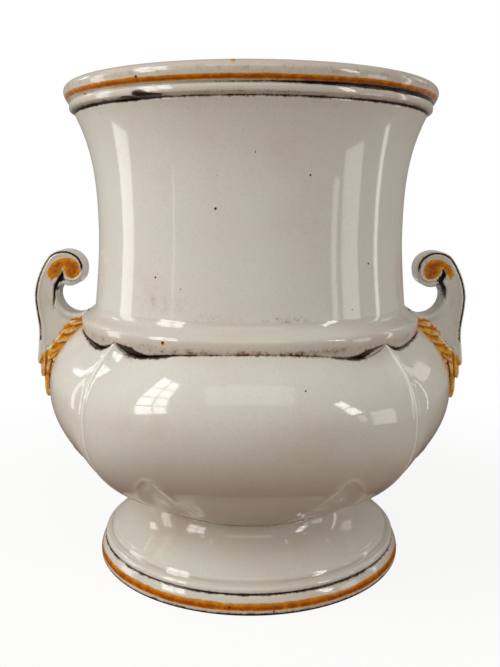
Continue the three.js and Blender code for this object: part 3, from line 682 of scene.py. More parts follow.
neck = {"seat": 208.0, "height": 148.3, "footRadius": 126.0, "waistRadius": 121.8, "waistHeight": 59.0,
        "mouthRadius": 137.2, "powers": (1.5, 2.85), "wall": 8.0, "columns": 320, "rows": 120,
        "spigotDepth": 4.0, "rebateDepth": 4.3, "wobbleFrom": (214, 244),
        "dust": [(-13, 9, 212, 6, 0.22), (12, 10, 212, 6, 0.22), (150, 14, 212, 6, 0.22)],
        "leftDust": [(-30, 22, 222, 12, 0.12)], "underRim": [(351, 4, 0.1)]}


# Outside radius of the neck at a height over its seat, a waist
def neckRadius(height):
    return swelling(height, neck["height"], neck["waistRadius"], neck["waistHeight"],
                    (neck["footRadius"], neck["mouthRadius"]), neck["powers"])


collar = {"seat": 183.0, "height": 25.0, "radius": 137.0, "rootRadius": 134.6, "bulge": 15.0,
          "shoulder": 19.5, "shoulderInset": 2.2, "topRadius": 126.0, "throat": 118.0, "socket": 122.0,
          "socketDepth": 4.3, "feather": 0.35, "columns": 512,
          # single specks and drops, as (angle, height, radius mm, strength)
          "specks": [(-28.5, 196.0, 0.7, 0.5), (-26.2, 191.6, 1.0, 0.7), (133.0, 196.5, 1.0, 0.8),
                     (84.4, 205.4, 2.6, 1.2), (-84.8, 205.8, 2.0, 1.1), (95.4, 205.6, 2.2, 1.1),
                     (-95.2, 205.4, 2.4, 1.1)],
          "rust": [(-25.3, 197.6, 1.5, 0.9), (133.4, 196.0, 1.2, 0.8)],
          "dust": [(193.0, 3.4, 0.15)], "leftDust": [(199, 7, 0.12)], "warmBand": [(192, 5, 0.16)],
          "frontDust": [(10, 13, 192.4, 2.0, 0.26), (-16, 12, 192.4, 2.0, 0.156)]}


# Outline: the root in the bowl, the full roll, a soft shoulder and the fillet up to the neck
def collarOutline(s):
    z = s["seat"]
    bulge = (s["radius"], z + s["bulge"])
    shoulder = (s["radius"] - s["shoulderInset"], z + s["shoulder"])
    top = (s["topRadius"], z + s["height"])
    root = (s["rootRadius"], z + 1.5)
    socketFloor = top[1] - s["socketDepth"]
    # the fillet runs out on the neck's own curve and ends inside its wall
    share = np.linspace(0, 1, 9)[1:]
    heights = top[1] + np.append(1 + 4 * share, [5.6, 6.4, 8.0])
    proud = np.append(s["feather"] * (1 - share) ** 2 - 0.05 * share, [-0.08, -0.2, -0.6])
    fillet = np.stack([neckRadius(heights - neck["seat"]) + proud, heights], 1)
    inside = s["topRadius"] - 1.8
    return np.vstack([
        [(s["throat"], z), (s["rootRadius"], z), root],
        bend(root, (root[0] + 0.4, z + 4), (bulge[0], bulge[1] - 6.5), bulge, 26),
        bend(bulge, (bulge[0], bulge[1] + 2.6), (shoulder[0] + 1.4, shoulder[1] - 1), shoulder, 12),
        bend(shoulder, (shoulder[0] - 2.4, shoulder[1] + 1.7), (top[0] + 1.2, top[1] - 2.4),
             (top[0] + s["feather"], top[1] + 1), 18),
        fillet,
        [(inside, heights[-1]), (inside, top[1]), (s["socket"], top[1]), (s["socket"], socketFloor),
         (s["throat"], socketFloor), (s["throat"], z + 10)],
    ])


# The same pools as the bowl, brown dust on the roll's underside, specks where the handles end, rust,
# and a warm tone all over with painted shade in a band under the roll
def collarPaint(degrees, heights, radii):
    s = collar
    outside = radii > s["topRadius"] - 1
    towardsLeft = (0.5 - 0.5 * np.sin(np.radians(degrees) + 0.3)) ** 2
    dust = bands(heights, s["dust"]) + bands(heights, s["leftDust"]) * towardsLeft
    dust = dust + clouds(degrees, heights, s["frontDust"])
    specks = spotMask(degrees, heights, s["radius"], s["specks"])
    rust = spotMask(degrees, heights, s["radius"], s["rust"])
    manganese = np.max([poolMask(degrees, heights), dust, specks], 0)
    return {"manganese": manganese * outside, "ochre": rust * outside,
            # a warm tone all over, and painted shade in a band under the roll
            "toneAndShade": (0.16 + bands(heights, s["warmBand"])) * outside}


collarPiece = turned("collarGlazed", collarOutline(collar), collar["columns"], ivoryGlaze, collarPaint)
finishPiece(collarPiece, ["shoulder_collar"])


# Outline: the spigot in the collar, the waisted outside, the rebate for the rim, and the inside, which
# is the outside less the wall
def neckOutline(s):
    height = np.linspace(0, s["height"], s["rows"])
    outer = np.stack([neckRadius(height), s["seat"] + height], 1)
    down = np.linspace(s["height"], 0, 40)
    inner = np.stack([neckRadius(down) - s["wall"], s["seat"] + down], 1)
    spigot = s["footRadius"] - s["wall"] / 2 - 0.6
    rebate = s["mouthRadius"] - s["wall"] / 2
    top = s["seat"] + s["height"]
    bottom, step = s["seat"] - s["spigotDepth"], top - s["rebateDepth"]
    inner[0] = (s["mouthRadius"] - s["wall"], step)
    return np.vstack([
        [(s["footRadius"] - s["wall"], bottom), (spigot, bottom), (spigot, s["seat"])],
        outer, [(rebate, top), (rebate, step)], inner[:-1],
    ])


# A hand-thrown drum is never quite true: three slow sines round it and up it, under a third of a
# millimetre together
def neckWobble(angles, heights):
    slow = 0.14 * np.sin(2 * angles + 0.7) + 0.09 * np.sin(5 * angles + heights / 40)
    return (slow + 0.05 * np.sin(heights / 11)) * ease(heights, *neck["wobbleFrom"])


rim = {"seat": 356.3, "height": 21.7, "mouth": 137.2, "wall": 8.0, "fullest": 15.7, "fullness": 7.7,
       "beadHeight": 7.1, "beadStep": 3.8, "stripeStep": 5.2, "groove": 0.9, "grooveWidth": 1.8,
       "crownInset": 2.7, "crownWidth": 3.0, "innerRoll": 3.2, "spigotDepth": 4.0, "columns": 512,
       "stripeLow": 365.2, "stripeHigh": 368.8, "underLine": 364.5, "grooveLine": 356.7,
       "secondLine": [(2, 24, 358.5, 0.35, 0.36)], "dust": [(359.5, 2.4, 0.14), (372, 4.5, 0.15)],
       "lipShade": (366, 372), "warmBand": [(359.5, 3, 0.3)], "dropRadius": 140,
       "underAt": [-180, -150, -100, -60, -18, -4, 8, 22, 45, 70, 100, 140, 180],
       "underPower": [0.8, 0.9, 0.4, 0.0, 0.05, 0.4, 0.55, 1.0, 1.25, 1.1, 0.5, 0.4, 0.8],
       "underHalf": [0.6, 0.7, 0.5, 0.4, 0.4, 0.45, 0.6, 0.85, 1.0, 0.8, 0.5, 0.5, 0.6],
       "grooveAt": [-180, -120, -60, -34, -22, 0, 20, 40, 70, 110, 150, 180],
       "groovePower": [0.7, 0.6, 1.1, 1.15, 0.5, 0.38, 0.45, 0.65, 1.0, 0.7, 1.0, 0.7],
       # ochre drops as (angle, height, radius mm, strength), and blots as (angle, height, half angle,
       # half height)
       "drops": [(-4.5, 376.6, 1.4, 1.1), (168.0, 375.0, 1.2, 1.0), (-55.0, 364.6, 1.6, 0.7)],
       "blots": [(-30.8, 359.8, 2.2, 1.9), (-29.0, 358.4, 3.4, 1.3), (-25.6, 358.0, 1.9, 0.8),
                 (-35.0, 357.5, 3.4, 1.0), (148.0, 359.6, 2.0, 1.4)]}


# The brown line in the groove that neck and rim share, as strong as groovePower says at each angle
def grooveStroke(degrees, heights, wander=0):
    power = np.interp(degrees, rim["grooveAt"], rim["groovePower"])
    uneven = 1 + 0.3 * ragged(np.radians(degrees), 10, 80)
    return power * uneven * stroke(heights - rim["grooveLine"] - wander, 0.75)


# Brown in the groove under the rim and a dusting over the collar, as bells over height and angle
def neckPaint(degrees, heights, radii):
    outside = radii > neckRadius(heights - neck["seat"]) - 3
    dust = np.maximum(clouds(degrees, heights, neck["dust"]), clouds(degrees, heights, neck["leftDust"]))
    manganese = np.max([grooveStroke(degrees, heights), dust, bands(heights, neck["underRim"])], 0)
    return {"manganese": manganese * outside}


neckPiece = turned("neckGlazed", neckOutline(neck), neck["columns"], ivoryGlaze, neckPaint, neckWobble)
finishPiece(neckPiece, ["flared_neck"])


# Outline: groove, bead, groove, the striped foot of the lip, the round lip, its crown and the inside
def rimOutline(s):
    z, mouth = s["seat"], s["mouth"]
    bottom = z - s["spigotDepth"]
    bead = mouth + s["beadStep"]
    beadTop = z + s["beadHeight"]
    stripe = (mouth + s["stripeStep"], beadTop + s["grooveWidth"])
    full = (mouth + s["fullness"], z + s["fullest"])
    top = z + s["height"]
    crownOut = (mouth - s["crownInset"] + s["crownWidth"] / 2, top)
    crownIn = (mouth - s["crownInset"] - s["crownWidth"] / 2, top)
    inner = mouth - s["wall"]
    spigot = mouth - s["wall"] / 2 - 0.6
    dip = (bead - s["groove"], beadTop + s["grooveWidth"] / 2)
    start = (mouth - s["groove"], z + 0.2)
    beadMiddle, beadEnd = (bead, z + s["beadHeight"] * 0.45), (bead - 0.3, beadTop)
    return np.vstack([
        [(inner, bottom), (spigot, bottom), (spigot, z), (mouth - s["groove"] - 0.3, z), start],
        bend(start, (mouth + 0.4, z + 0.9), (bead - 0.2, z + 1.6), beadMiddle, 14),
        bend(beadMiddle, (bead + 0.25, z + s["beadHeight"] * 0.65), (bead + 0.1, beadTop - 0.4), beadEnd, 12),
        bend(beadEnd, (bead - 0.8, beadTop + 0.2), (dip[0], dip[1] - 0.4), dip, 5),
        bend(dip, (dip[0] + 0.1, dip[1] + 0.5), (stripe[0] - 0.9, stripe[1] - 0.2), stripe, 6),
        bend(stripe, (stripe[0] + 1, stripe[1] + 2), (full[0], full[1] - 3), full, 20),
        bend(full, (full[0], top - 2), (crownOut[0] + 4, top), crownOut, 24),
        evenly([crownOut, crownIn], 3)[1:],
        bend(crownIn, (inner + 0.6, top), (inner, top - s["innerRoll"]),
             (inner, top - s["innerRoll"] * 2), 12),
        [(inner, z + 6)],
    ])


# The brushed stripe with a dark line under it, nothing at the left, thin in front and torn at the
# right, the brown groove, thick blots of manganese, and ochre drops: strokes and bells again. A warm
# tint on the bead and the top of the lip is painted shade.
def rimPaint(degrees, heights, radii):
    s = rim
    turn = np.radians(degrees)
    outside = radii > s["mouth"] - 2.2
    low = s["stripeLow"] + 0.2 * ragged(turn, 6, 40)
    high = s["stripeHigh"] + 0.3 * ragged(turn, 7, 40)
    stripe = brushed(heights, low, high)
    drops = spotMask(degrees, heights, s["dropRadius"], s["drops"])
    pull = np.interp(degrees, s["underAt"], s["underPower"]) * (1 + 0.35 * ragged(turn, 8, 70))
    spread = np.interp(degrees, s["underAt"], s["underHalf"]) * (1 + 0.4 * ragged(turn, 9, 50))
    torn = pull * stroke(heights - s["underLine"] - 0.25 * ragged(turn, 13, 30), spread)
    groove = grooveStroke(degrees, heights, 0.2 * ragged(turn, 11, 60))
    second = clouds(degrees, heights, s["secondLine"]) * (1 + 0.5 * ragged(turn, 14, 60))
    blots = [1.3 * bell((degrees - angle + 180) % 360 - 180, 0, wide) * bell(heights, height, tall)
             for angle, height, wide, tall in s["blots"]]
    manganese = np.max([torn, groove, second, bands(heights, s["dust"]), *blots], 0)
    return {"ochre": np.maximum(stripe, drops) * outside, "manganese": manganese * outside,
            # painted shade on the bead and the top of the lip
            "toneAndShade": (0.3 * ease(heights, *s["lipShade"]) + bands(heights, s["warmBand"])) * outside}


rimPiece = turned("rimGlazed", rimOutline(rim), rim["columns"], ivoryGlaze, rimPaint)
finishPiece(rimPiece, ["rim_roll"])
print("turned pieces done")

handle = {"foot": 126.0, "seat": 208.0, "half": 11.0, "edge": 1.1, "eye": (21.2, 27.3), "voluteRadius": 11.9,
          "growth": 0.218, "startAngle": -52.0, "endAngle": -320.0, "grip": (16.0, 8.0), "gripRadius": 15.8,
          "back": (50.2, 5.46), "waist": (47.8, -22.0), "base": (49.4, -40.0), "armTip": (-4.0, 0.5),
          "across": 34, "along": 340, "coilShare": 0.52, "edgeRows": 8, "sideRows": 22, "cornerRounds": 60,
          "baseBulge": (-2.2, -2.9)}


# The outer edge: the volute's spiral, reach = R * e^(growth * angle), then the back of the handle down
# to its base
def handleOuter(s):
    turn = np.radians(np.linspace(s["startAngle"], s["endAngle"], 160))
    reach = s["voluteRadius"] * np.exp(s["growth"] * np.maximum(0, -math.pi - turn))
    spiral = np.stack([s["eye"][0] + reach * np.cos(turn), s["eye"][1] + reach * np.sin(turn)], 1)
    last, back, waist, base = spiral[-1], s["back"], s["waist"], s["base"]
    return np.vstack([
        spiral,
        bend(last, (last[0] + 6, last[1] - 6.4), (back[0], back[1] + 13), back, 60),
        bend(back, (back[0], back[1] - 10), (waist[0], waist[1] + 9), waist, 50),
        bend(waist, (waist[0], waist[1] - 7), (base[0] - 0.6, base[1] + 7), base, 40),
    ])


# The inner edge after the eye: round the hollow for the fingers, a circle, and out along the arm
def handleInner(s):
    turn = np.radians(np.linspace(10, -90, 80))
    gx, gz = s["grip"]
    arc = np.stack([gx + s["gripRadius"] * np.cos(turn), gz + s["gripRadius"] * np.sin(turn)], 1)
    end = arc[-1]
    tip = s["armTip"]
    return np.vstack([arc, bend(end, (end[0] - 7.9, end[1]), (6.0, 0.0), tip, 40)])


# What is cut and painted on a face, as (out from the neck's foot, up from its seat): the crease under
# the cusp, the thin ridge round the coil, the ochre comma, black pools as (out, up, size, strength),
# the painted shade on the side of the hollow under the coil, and how wide and strong the crease's and
# the back's lines are along them. The faint wide pool under the coil of the round face is painted shade too.
# No two are alike, as they were brushed by hand.
faceMarks = {
    "round": {
        "crease": [(26.4, 27.0), (27.0, 24.0), (27.6, 21.6), (29.6, 19.2), (31.4, 16.6), (32.9, 13.0),
                   (33.6, 9.0), (33.9, 5.0), (34.6, 1.0), (35.4, -2.5)],
        "ridge": [(25.2, 30.6), (26.5, 28.2), (26.3, 25.0), (24.8, 22.4), (22.2, 20.9), (19.0, 20.3),
                  (15.6, 21.0), (12.6, 23.2), (11.0, 26.2)],
        "ochre": [(11.8, 28.6), (12.6, 32.5), (15.2, 36.2), (19.2, 38.2), (24.6, 38.4), (30.0, 37.2),
                  (34.6, 34.6), (38.4, 31.0), (42.0, 26.6), (42.4, 22.0), (40.2, 23.6), (39.8, 18.4),
                  (37.4, 20.4), (36.6, 16.6), (34.2, 20.0), (31.6, 21.6), (29.2, 22.8), (27.8, 25.6),
                  (25.6, 30.0), (25.0, 26.6), (23.4, 23.2), (20.6, 21.5), (17.2, 21.4), (14.0, 23.2),
                  (12.2, 25.8), (11.8, 28.6)],
        # the wide faint pool under the coil, at (19.0, 18.9), is painted shade
        "pools": [(27.3, 21.6, 1.9, 1.2), (25.6, 20.4, 1.2, 0.9), (29.2, 20.2, 1.2, 1.0),
                  (19.0, 18.9, 3.0, 0.28), (5.8, -4.4, 1.8, 0.8), (3.4, -3.2, 1.3, 0.6)],
        # painted shade on the side of the hollow under the coil
        "hollow": (31.2, 13.4, 2.0, 0.9),
        "width": [0.6, 1.7, 1.3, 1.1, 0.9, 0.6], "power": [0.7, 1.25, 1.2, 1.1, 0.7, 0.2],
        "backTop": [0.0, 1.1, 1.15, 0.75, 0.45, 0.62, 0.7, 0.65]},
    "narrow": {
        "crease": [(30.0, 29.6), (31.0, 26.8), (30.4, 23.6), (28.8, 21.0), (29.6, 18.4), (31.4, 15.4),
                   (32.3, 11.6), (32.3, 8.0), (31.7, 5.2), (30.4, 2.0)],
        "ridge": [(29.6, 31.6), (29.9, 29.0), (29.0, 26.2), (27.0, 23.6), (24.2, 21.6), (21.0, 20.7),
                  (17.8, 20.9), (14.6, 22.6), (12.8, 26.0), (12.6, 30.0), (13.8, 34.0)],
        "ochre": [(15.0, 28.4), (15.6, 32.2), (17.4, 35.6), (20.4, 37.8), (24.8, 38.4), (29.8, 37.6),
                  (34.6, 35.2), (38.6, 31.6), (41.2, 27.4), (41.8, 22.4), (40.6, 18.8), (39.4, 22.6),
                  (38.4, 15.4), (36.8, 20.6), (35.2, 18.6), (34.4, 22.6), (33.4, 25.4), (31.6, 28.6),
                  (29.6, 31.0), (28.8, 27.6), (26.6, 24.4), (23.4, 22.2), (20.0, 21.4), (17.0, 22.4),
                  (15.2, 25.2), (15.0, 28.4)],
        "pools": [(29.0, 22.6, 2.0, 1.3), (26.8, 20.9, 1.2, 0.9), (28.6, 17.2, 2.2, 1.3),
                  (29.8, 13.8, 1.7, 1.15), (12.4, 28.0, 0.8, 0.4),
                  (3.4, -4.6, 1.9, 1.1), (5.4, -6.0, 1.3, 0.7)],
        # painted shade on the side of the hollow under the coil
        "hollow": (31.0, 13.6, 4.8, 1.5),
        "width": [0.7, 1.5, 1.3, 1.2, 1.1, 0.6], "power": [0.8, 1.3, 1.2, 1.1, 0.9, 0.2],
        "backTop": [0.0, 1.2, 1.2, 1.0, 0.75, 0.75, 0.75, 0.7]},
}
backAlong = [0.17, 0.21, 0.28, 0.36, 0.46, 0.6, 0.85, 1.0]
creaseAlong = [0.0, 0.16, 0.34, 0.55, 0.8, 1.0]


# Height of the face over its plane, a sum of bells over the distances to its lines: a bead along the
# outer edge with a groove inside it, a round roll along the hollow, the domed coil in its ridge, the
# deep crease under it, and a slightly dished blade
def faceRelief(places, outerEdge, hollowEdge, marks):
    fromEdge, alongEdge = nearLine(places, outerEdge)
    fromCrease, alongCrease = nearLine(places, curveThrough(marks["crease"], 60))
    fromRidge, alongRidge = nearLine(places, curveThrough(marks["ridge"], 50))
    fromHollow, alongHollow = nearLine(places, hollowEdge)
    inward = inwardOf(places, curveThrough(marks["ochre"], 120))
    onBack = ease(alongEdge, 0.20, 0.30)
    groove = -0.75 * bell(fromEdge, 1.9, 0.6) * onBack
    bead = 0.3 * bell(fromEdge, 3.6, 1.2) * onBack
    ring = 0.7 * bell(fromEdge, 3.2, 2.0) * (1 - ease(alongEdge, 0.16, 0.26))
    dome = 0.8 * ease(inward, -0.4, 3.4) * (1 - 0.8 * ease(places[:, 0], 29, 37))
    ridge = 0.9 * bell(fromRidge, 0, 0.75) * ease(alongRidge, 0.0, 0.08)
    underRidge = -0.7 * bell(fromRidge, 2.0, 1.1) * (inward < 0) * ease(alongRidge, 0.1, 0.3)
    depth = np.interp(alongCrease, creaseAlong, [1.6, 3.2, 3.0, 1.9, 0.9, 0.0])
    crease = -depth * bell(fromCrease, 0, np.interp(alongCrease, creaseAlong, [0.8, 1.5, 1.3, 1.1, 1.0, 1.0]))
    onRoll = ease(alongHollow, 0.04, 0.2) * (1 - ease(alongHollow, 0.72, 0.9))
    roll = (0.9 * bell(fromHollow, 2.7, 2.2) - 0.75 * bell(fromHollow, 6.8, 1.9)) * onRoll
    dished = -0.9 * bell(places[:, 0], 39.5, 6) * bell(places[:, 1], -2, 15)
    return groove + bead + ring + dome + ridge + underRidge + crease + roll + dished


# Where each leaf meets the bowl, as (out, up), how far the ochre reaches from there, by height, and the
# base of the handle, which it covers too
leafEdge = {"bowlSide": [(5.0, -13.0), (10.0, -18.0), (15.0, -20.0), (20.0, -23.5), (25.0, -28.0),
                         (28.0, -33.0), (32.0, -38.0), (36.0, -44.0),
                         (38.0, -52.0), (39.5, -60.0), (40.0, -80.0)],
            "reachAt": [-50.0, -45.0, -40.0, -34.0, -28.0, -20.0, -12.0, -6.0],
            "reach": [16.0, 13.0, 9.5, 8.2, 8.4, 9.4, 10.0, 9.0],
            "base": (48.4, -46.5), "baseReach": 3.6}


# Distance of each place to a point in the plane
def awayFrom(places, point):
    return np.hypot(places[:, 0] - point[0], places[:, 1] - point[1])


# The ochre of the leaf is brushed outwards from the bowl, from 1 there to 0 at its reach, and ends in
# strokes of uneven length
def leafOchre(places):
    s = leafEdge
    away, along = nearLine(places, s["bowlSide"])
    reach = np.interp(places[:, 1], s["reachAt"], s["reach"]) + 1.7 * ragged(2 * math.pi * along, 21, 46)
    base = bell(awayFrom(places, s["base"]), 0, s["baseReach"])
    return np.maximum(1 - ease(away, reach - 4.0, reach + 1.5), base)


# Paint of a handle, the strongest stroke or bell at each place: the ochre comma, thinner towards its
# tail, and the leaf's ochre under it; black in the crease, along the back's groove and in pools, and on
# the side rows painted shade in the hollow under the coil
def handlePaint(places, outerEdge, marks, onFace):
    fromEdge, alongEdge = nearLine(places, outerEdge)
    fromCrease, alongCrease = nearLine(places, curveThrough(marks["crease"], 60))
    inward = inwardOf(places, curveThrough(marks["ochre"], 120))
    feather = np.interp(places[:, 0], [27, 34, 39], [0.5, 1.4, 4.0])
    comma = 0.5 * ease(inward, -feather * 0.5, feather) + 0.42 * ease(inward, 0.4, 5.0)
    comma = comma * (1 - 0.42 * ease(places[:, 0], 31, 40))
    ochre = np.maximum(comma, 0.7 * leafOchre(places) * (places[:, 1] < 6))
    width = np.interp(alongCrease, creaseAlong, marks["width"])
    crease = np.interp(alongCrease, creaseAlong, marks["power"]) * stroke(fromCrease, width)
    spread = np.interp(alongEdge, [0.2, 0.36, 0.5, 1.0], [0.95, 0.8, 0.55, 0.62])
    edgeLine = np.interp(alongEdge, backAlong, marks["backTop"]) * stroke(fromEdge - 1.5, spread)
    haze = 0.2 * bell(fromCrease, 0, 3.2)
    pools = [strength * bell(awayFrom(places, (out, up)), 0, size)
             for out, up, size, strength in marks["pools"]]
    # painted shade: black on the side of the hollow under the coil
    out, up, size, strength = marks["hollow"]
    shadeInHollow = strength * bell(awayFrom(places, (out, up)), 0, size) * (onFace < 1)
    manganese = np.max([crease * onFace, edgeLine * onFace, haze * onFace, shadeInHollow, *pools], 0)
    return {"ochre": ochre * onFace, "manganese": manganese, "toneAndShade": np.full(len(places), 0.08)}


# A ribbon of faces from the inner to the outer edge, coiled round the eye of the volute, so each place
# is inner * (1 - v) + outer * v. Its two faces are set off by the relief, and a rounded edge and a flat
# side join them. The left handle is the right one turned half round.
def buildHandle(s, frontMarks, backMarks, turn):
    outer, inner = handleOuter(s), handleInner(s)
    start = outer[0]
    eye = np.array(s["eye"])
    across, along = s["across"], s["along"]
    coilSteps = int(along * s["coilShare"])
    restSteps = along - coilSteps - across
    outerEven = evenly(outer, along)
    seam = eye + (start - eye) * np.linspace(0, 1, across + 1)[1:, None]
    hollow = evenly(np.vstack([start, inner]), restSteps)[1:]
    innerEven = np.vstack([np.repeat(eye[None], coilSteps + 1, 0), seam, hollow])
    # the closed edge runs from the cusp round the outside, along the base and back up the hollow
    share = np.linspace(0, 1, across + 1)[:, None]
    baseLine = outerEven[-1] + (innerEven[-1] - outerEven[-1]) * share
    baseLine += np.sin(math.pi * share) * s["baseBulge"]
    loop = np.vstack([outerEven, baseLine[1:], innerEven[along - restSteps + 1:-1][::-1]])
    corners = np.array([outerEven[-1], innerEven[-1]])
    fromCorner = np.min(np.linalg.norm(loop[:, None] - corners[None], axis=2), 1)
    weight = (1 - ease(fromCorner, 2.0, 5.0))[:, None]
    for _ in range(s["cornerRounds"]):
        loop = loop + weight * (0.5 * (np.roll(loop, -1, 0) + np.roll(loop, 1, 0)) - loop)
    ahead, behind = np.roll(loop, -1, 0), np.roll(loop, 1, 0)
    tangent = ahead - behind
    tangent /= np.linalg.norm(tangent, axis=1)[:, None]
    normal = np.stack([-tangent[:, 1], tangent[:, 0]], 1)
    area = 0.5 * np.sum(loop[:, 0] * ahead[:, 1] - ahead[:, 0] * loop[:, 1])
    normal *= -1 if area > 0 else 1
    inset = loop - normal * s["edge"]
    outerIn = inset[:along + 1]
    innerIn = innerEven.copy()
    innerIn[along - restSteps + 1:-1] = inset[along + across + 1:][::-1]
    innerIn[-1] = inset[along + across]
    v = np.linspace(0, 1, across + 1)[None, :, None]
    face = innerIn[:, None] * (1 - v) + outerIn[:, None] * v
    face[0] = eye + (outerIn[0] - eye) * v[0]
    # the seam's rows start on the line from the eye to the cusp, and the last row runs along the base
    seamRows = np.arange(coilSteps, coilSteps + across + 1)
    face[seamRows, 0] = face[0]
    face[-1] = inset[along:along + across + 1][::-1]
    face[seamRows] = face[seamRows, :1] * (1 - v) + outerIn[seamRows, None] * v
    flat = face.reshape(-1, 2)
    settle = ease(nearLine(flat, np.vstack([inset, inset[:1]]))[0], 0, 0.8)
    count = len(flat)
    points, paints = [], []

    # adds places of the handle's plane at the distance y from its middle
    def put(plane, y, marks, onFace):
        points.append(np.stack([s["foot"] + plane[:, 0], y, s["seat"] + plane[:, 1]], 1))
        paints.append(handlePaint(plane, outer, marks, onFace))

    for marks, way in ((frontMarks, -1), (backMarks, 1)):
        relief = faceRelief(flat, outer, inner, marks) * settle
        put(flat, way * (s["half"] + relief), marks, 1.0)
    quads = gridFaces(along + 1, across + 1, False, False)
    blocks = [quads, quads[:, ::-1] + count]
    # rounded edge rows from the front face round to the back face, a quarter circle at each side
    edgeTurn = np.linspace(0, math.pi / 2, s["edgeRows"] + 1)[1:]
    rowsOut = [loop - normal * s["edge"] * (1 - math.sin(a)) for a in edgeTurn]
    rowsY = [-(s["half"] - s["edge"] * (1 - math.cos(a))) for a in edgeTurn]
    sideY = np.linspace(rowsY[-1], -rowsY[-1], s["sideRows"] + 1)[1:-1]
    planes = rowsOut + [loop] * len(sideY) + rowsOut[::-1]
    depths = rowsY + list(sideY) + [-y for y in rowsY[::-1]]
    for plane, y in zip(planes, depths):
        put(plane, np.full(len(loop), y), frontMarks if y < 0 else backMarks, 0.35)
    first = 2 * count
    blocks.append(gridFaces(len(planes), len(loop), False, True) + first)
    # the face grid's own edge, in the order of the loop, is joined to the first and the last edge row
    grid = np.arange(count).reshape(along + 1, across + 1)
    ring = np.concatenate([grid[:, across], grid[-1, :across][::-1], grid[along - restSteps + 1:-1, 0][::-1]])
    for edgeRow, base, order in ((first, 0, 1), (first + (len(planes) - 1) * len(loop), count, -1)):
        row = edgeRow + np.arange(len(loop))
        link = np.stack([ring + base, np.roll(ring, -1) + base, np.roll(row, -1), row], 1)
        blocks.append(link[:, ::order])
    points = np.vstack(points)
    if turn:
        points[:, :2] *= -1
    return points, blocks, {key: np.concatenate([paint[key] for paint in paints]) for key in paints[0]}


# turned half round, the far face of the left handle is the one that the front shows
for side, halfRound in (("right", False), ("left", True)):
    points, blocks, masks = buildHandle(handle, faceMarks["narrow"], faceMarks["round"], halfRound)
    piece = sealed(makePiece(f"handleGlazed_{side}", points, blocks, ivoryGlaze, masks))
    finishPiece(piece, [f"handle_{side}"])

leafLook = dict(glazeLook, ochrePale="#e8b042", ochre="#cd8408", ochreDeep="#985000")

# Places are (out from the neck's foot, y, up from its seat)
leaf = {"voxel": 0.48, "smoothing": 2, "vein": 0.16, "ringSteps": 24, "lengthSteps": 26,
        # tongues on the side of the handle: root and tip, half-width, half-thickness
        "side": [((0.0, 9.6, -5.2), (14.6, 9.5, -11.4), 2.6, 2.1),
                 ((3.0, 9.8, -10.4), (22.4, 9.6, -16.4), 3.0, 2.3),
                 ((7.0, 9.9, -15.0), (24.4, 9.8, -22.6), 2.4, 2.2),
                 ((9.0, 9.8, -17.2), (29.6, 9.6, -23.8), 3.1, 2.3),
                 ((14.0, 9.9, -22.6), (29.0, 9.9, -31.0), 2.4, 2.2),
                 ((16.0, 9.9, -23.8), (34.4, 9.6, -31.2), 3.1, 2.4),
                 ((20.0, 9.8, -28.8), (33.0, 10.0, -39.4), 2.5, 2.2),
                 ((22.0, 9.9, -30.2), (39.0, 9.8, -39.6), 3.1, 2.3),
                 ((25.0, 9.8, -36.0), (37.0, 10.4, -47.2), 2.6, 2.3),
                 ((30.0, 9.8, -36.0), (40.8, 10.4, -46.0), 2.4, 2.2),
                 ((30.0, 9.6, -39.0), (39.2, 10.2, -58.0), 3.2, 2.8),
                 ((37.5, 9.8, -33.0), (41.6, 10.2, -57.0), 2.2, 2.4),
                 ((40.0, 9.4, -38.0), (42.2, 8.0, -77.6), 4.1, 3.2),
                 ((43.6, 9.6, -32.0), (46.0, 9.8, -60.6), 2.6, 2.5),
                 ((46.0, 9.6, -29.0), (48.3, 9.9, -49.6), 2.3, 2.3)],
        # tongues down the outside
        "outer": [((45.0, 0.0, -33.0), (41.9, 0.0, -80.0), 4.4, 3.0),
                  ((46.4, 4.6, -33.0), (46.2, 4.8, -60.5), 3.4, 2.7),
                  ((47.0, 0.0, -31.0), (48.2, 0.0, -50.5), 3.4, 2.7),
                  ((41.0, 4.2, -50.0), (42.6, 3.6, -77.5), 3.4, 3.0),
                  ((46.8, 8.0, -30.0), (47.9, 8.0, -49.0), 2.6, 2.5)],
        # outline of the body that the tongues lie on, as (out, up), and its half-width by height
        "body": [(-3.0, -7.5), (8.0, -10.0), (16.0, -13.6), (28.8, -20.0), (40.5, -33.0), (46.5, -38.0),
                 (47.0, -46.0), (44.5, -56.0), (42.0, -66.0), (40.0, -76.0), (37.5, -78.0), (30.0, -72.0),
                 (26.0, -52.0), (14.0, -34.0), (-2.0, -20.0), (-3.0, -7.5)],
        "bodyAt": [-80, -60, -46, -30, -8], "bodyHalf": [3.0, 8.0, 10.8, 11.25, 11.25],
        # manganese in the upper corner, and along the line between the long tongue and the bowl
        "corner": (8.5, -14.0), "cornerReach": 3.4, "darkLine": [(37.6, -46), (40, -58), (40.6, -70)]}


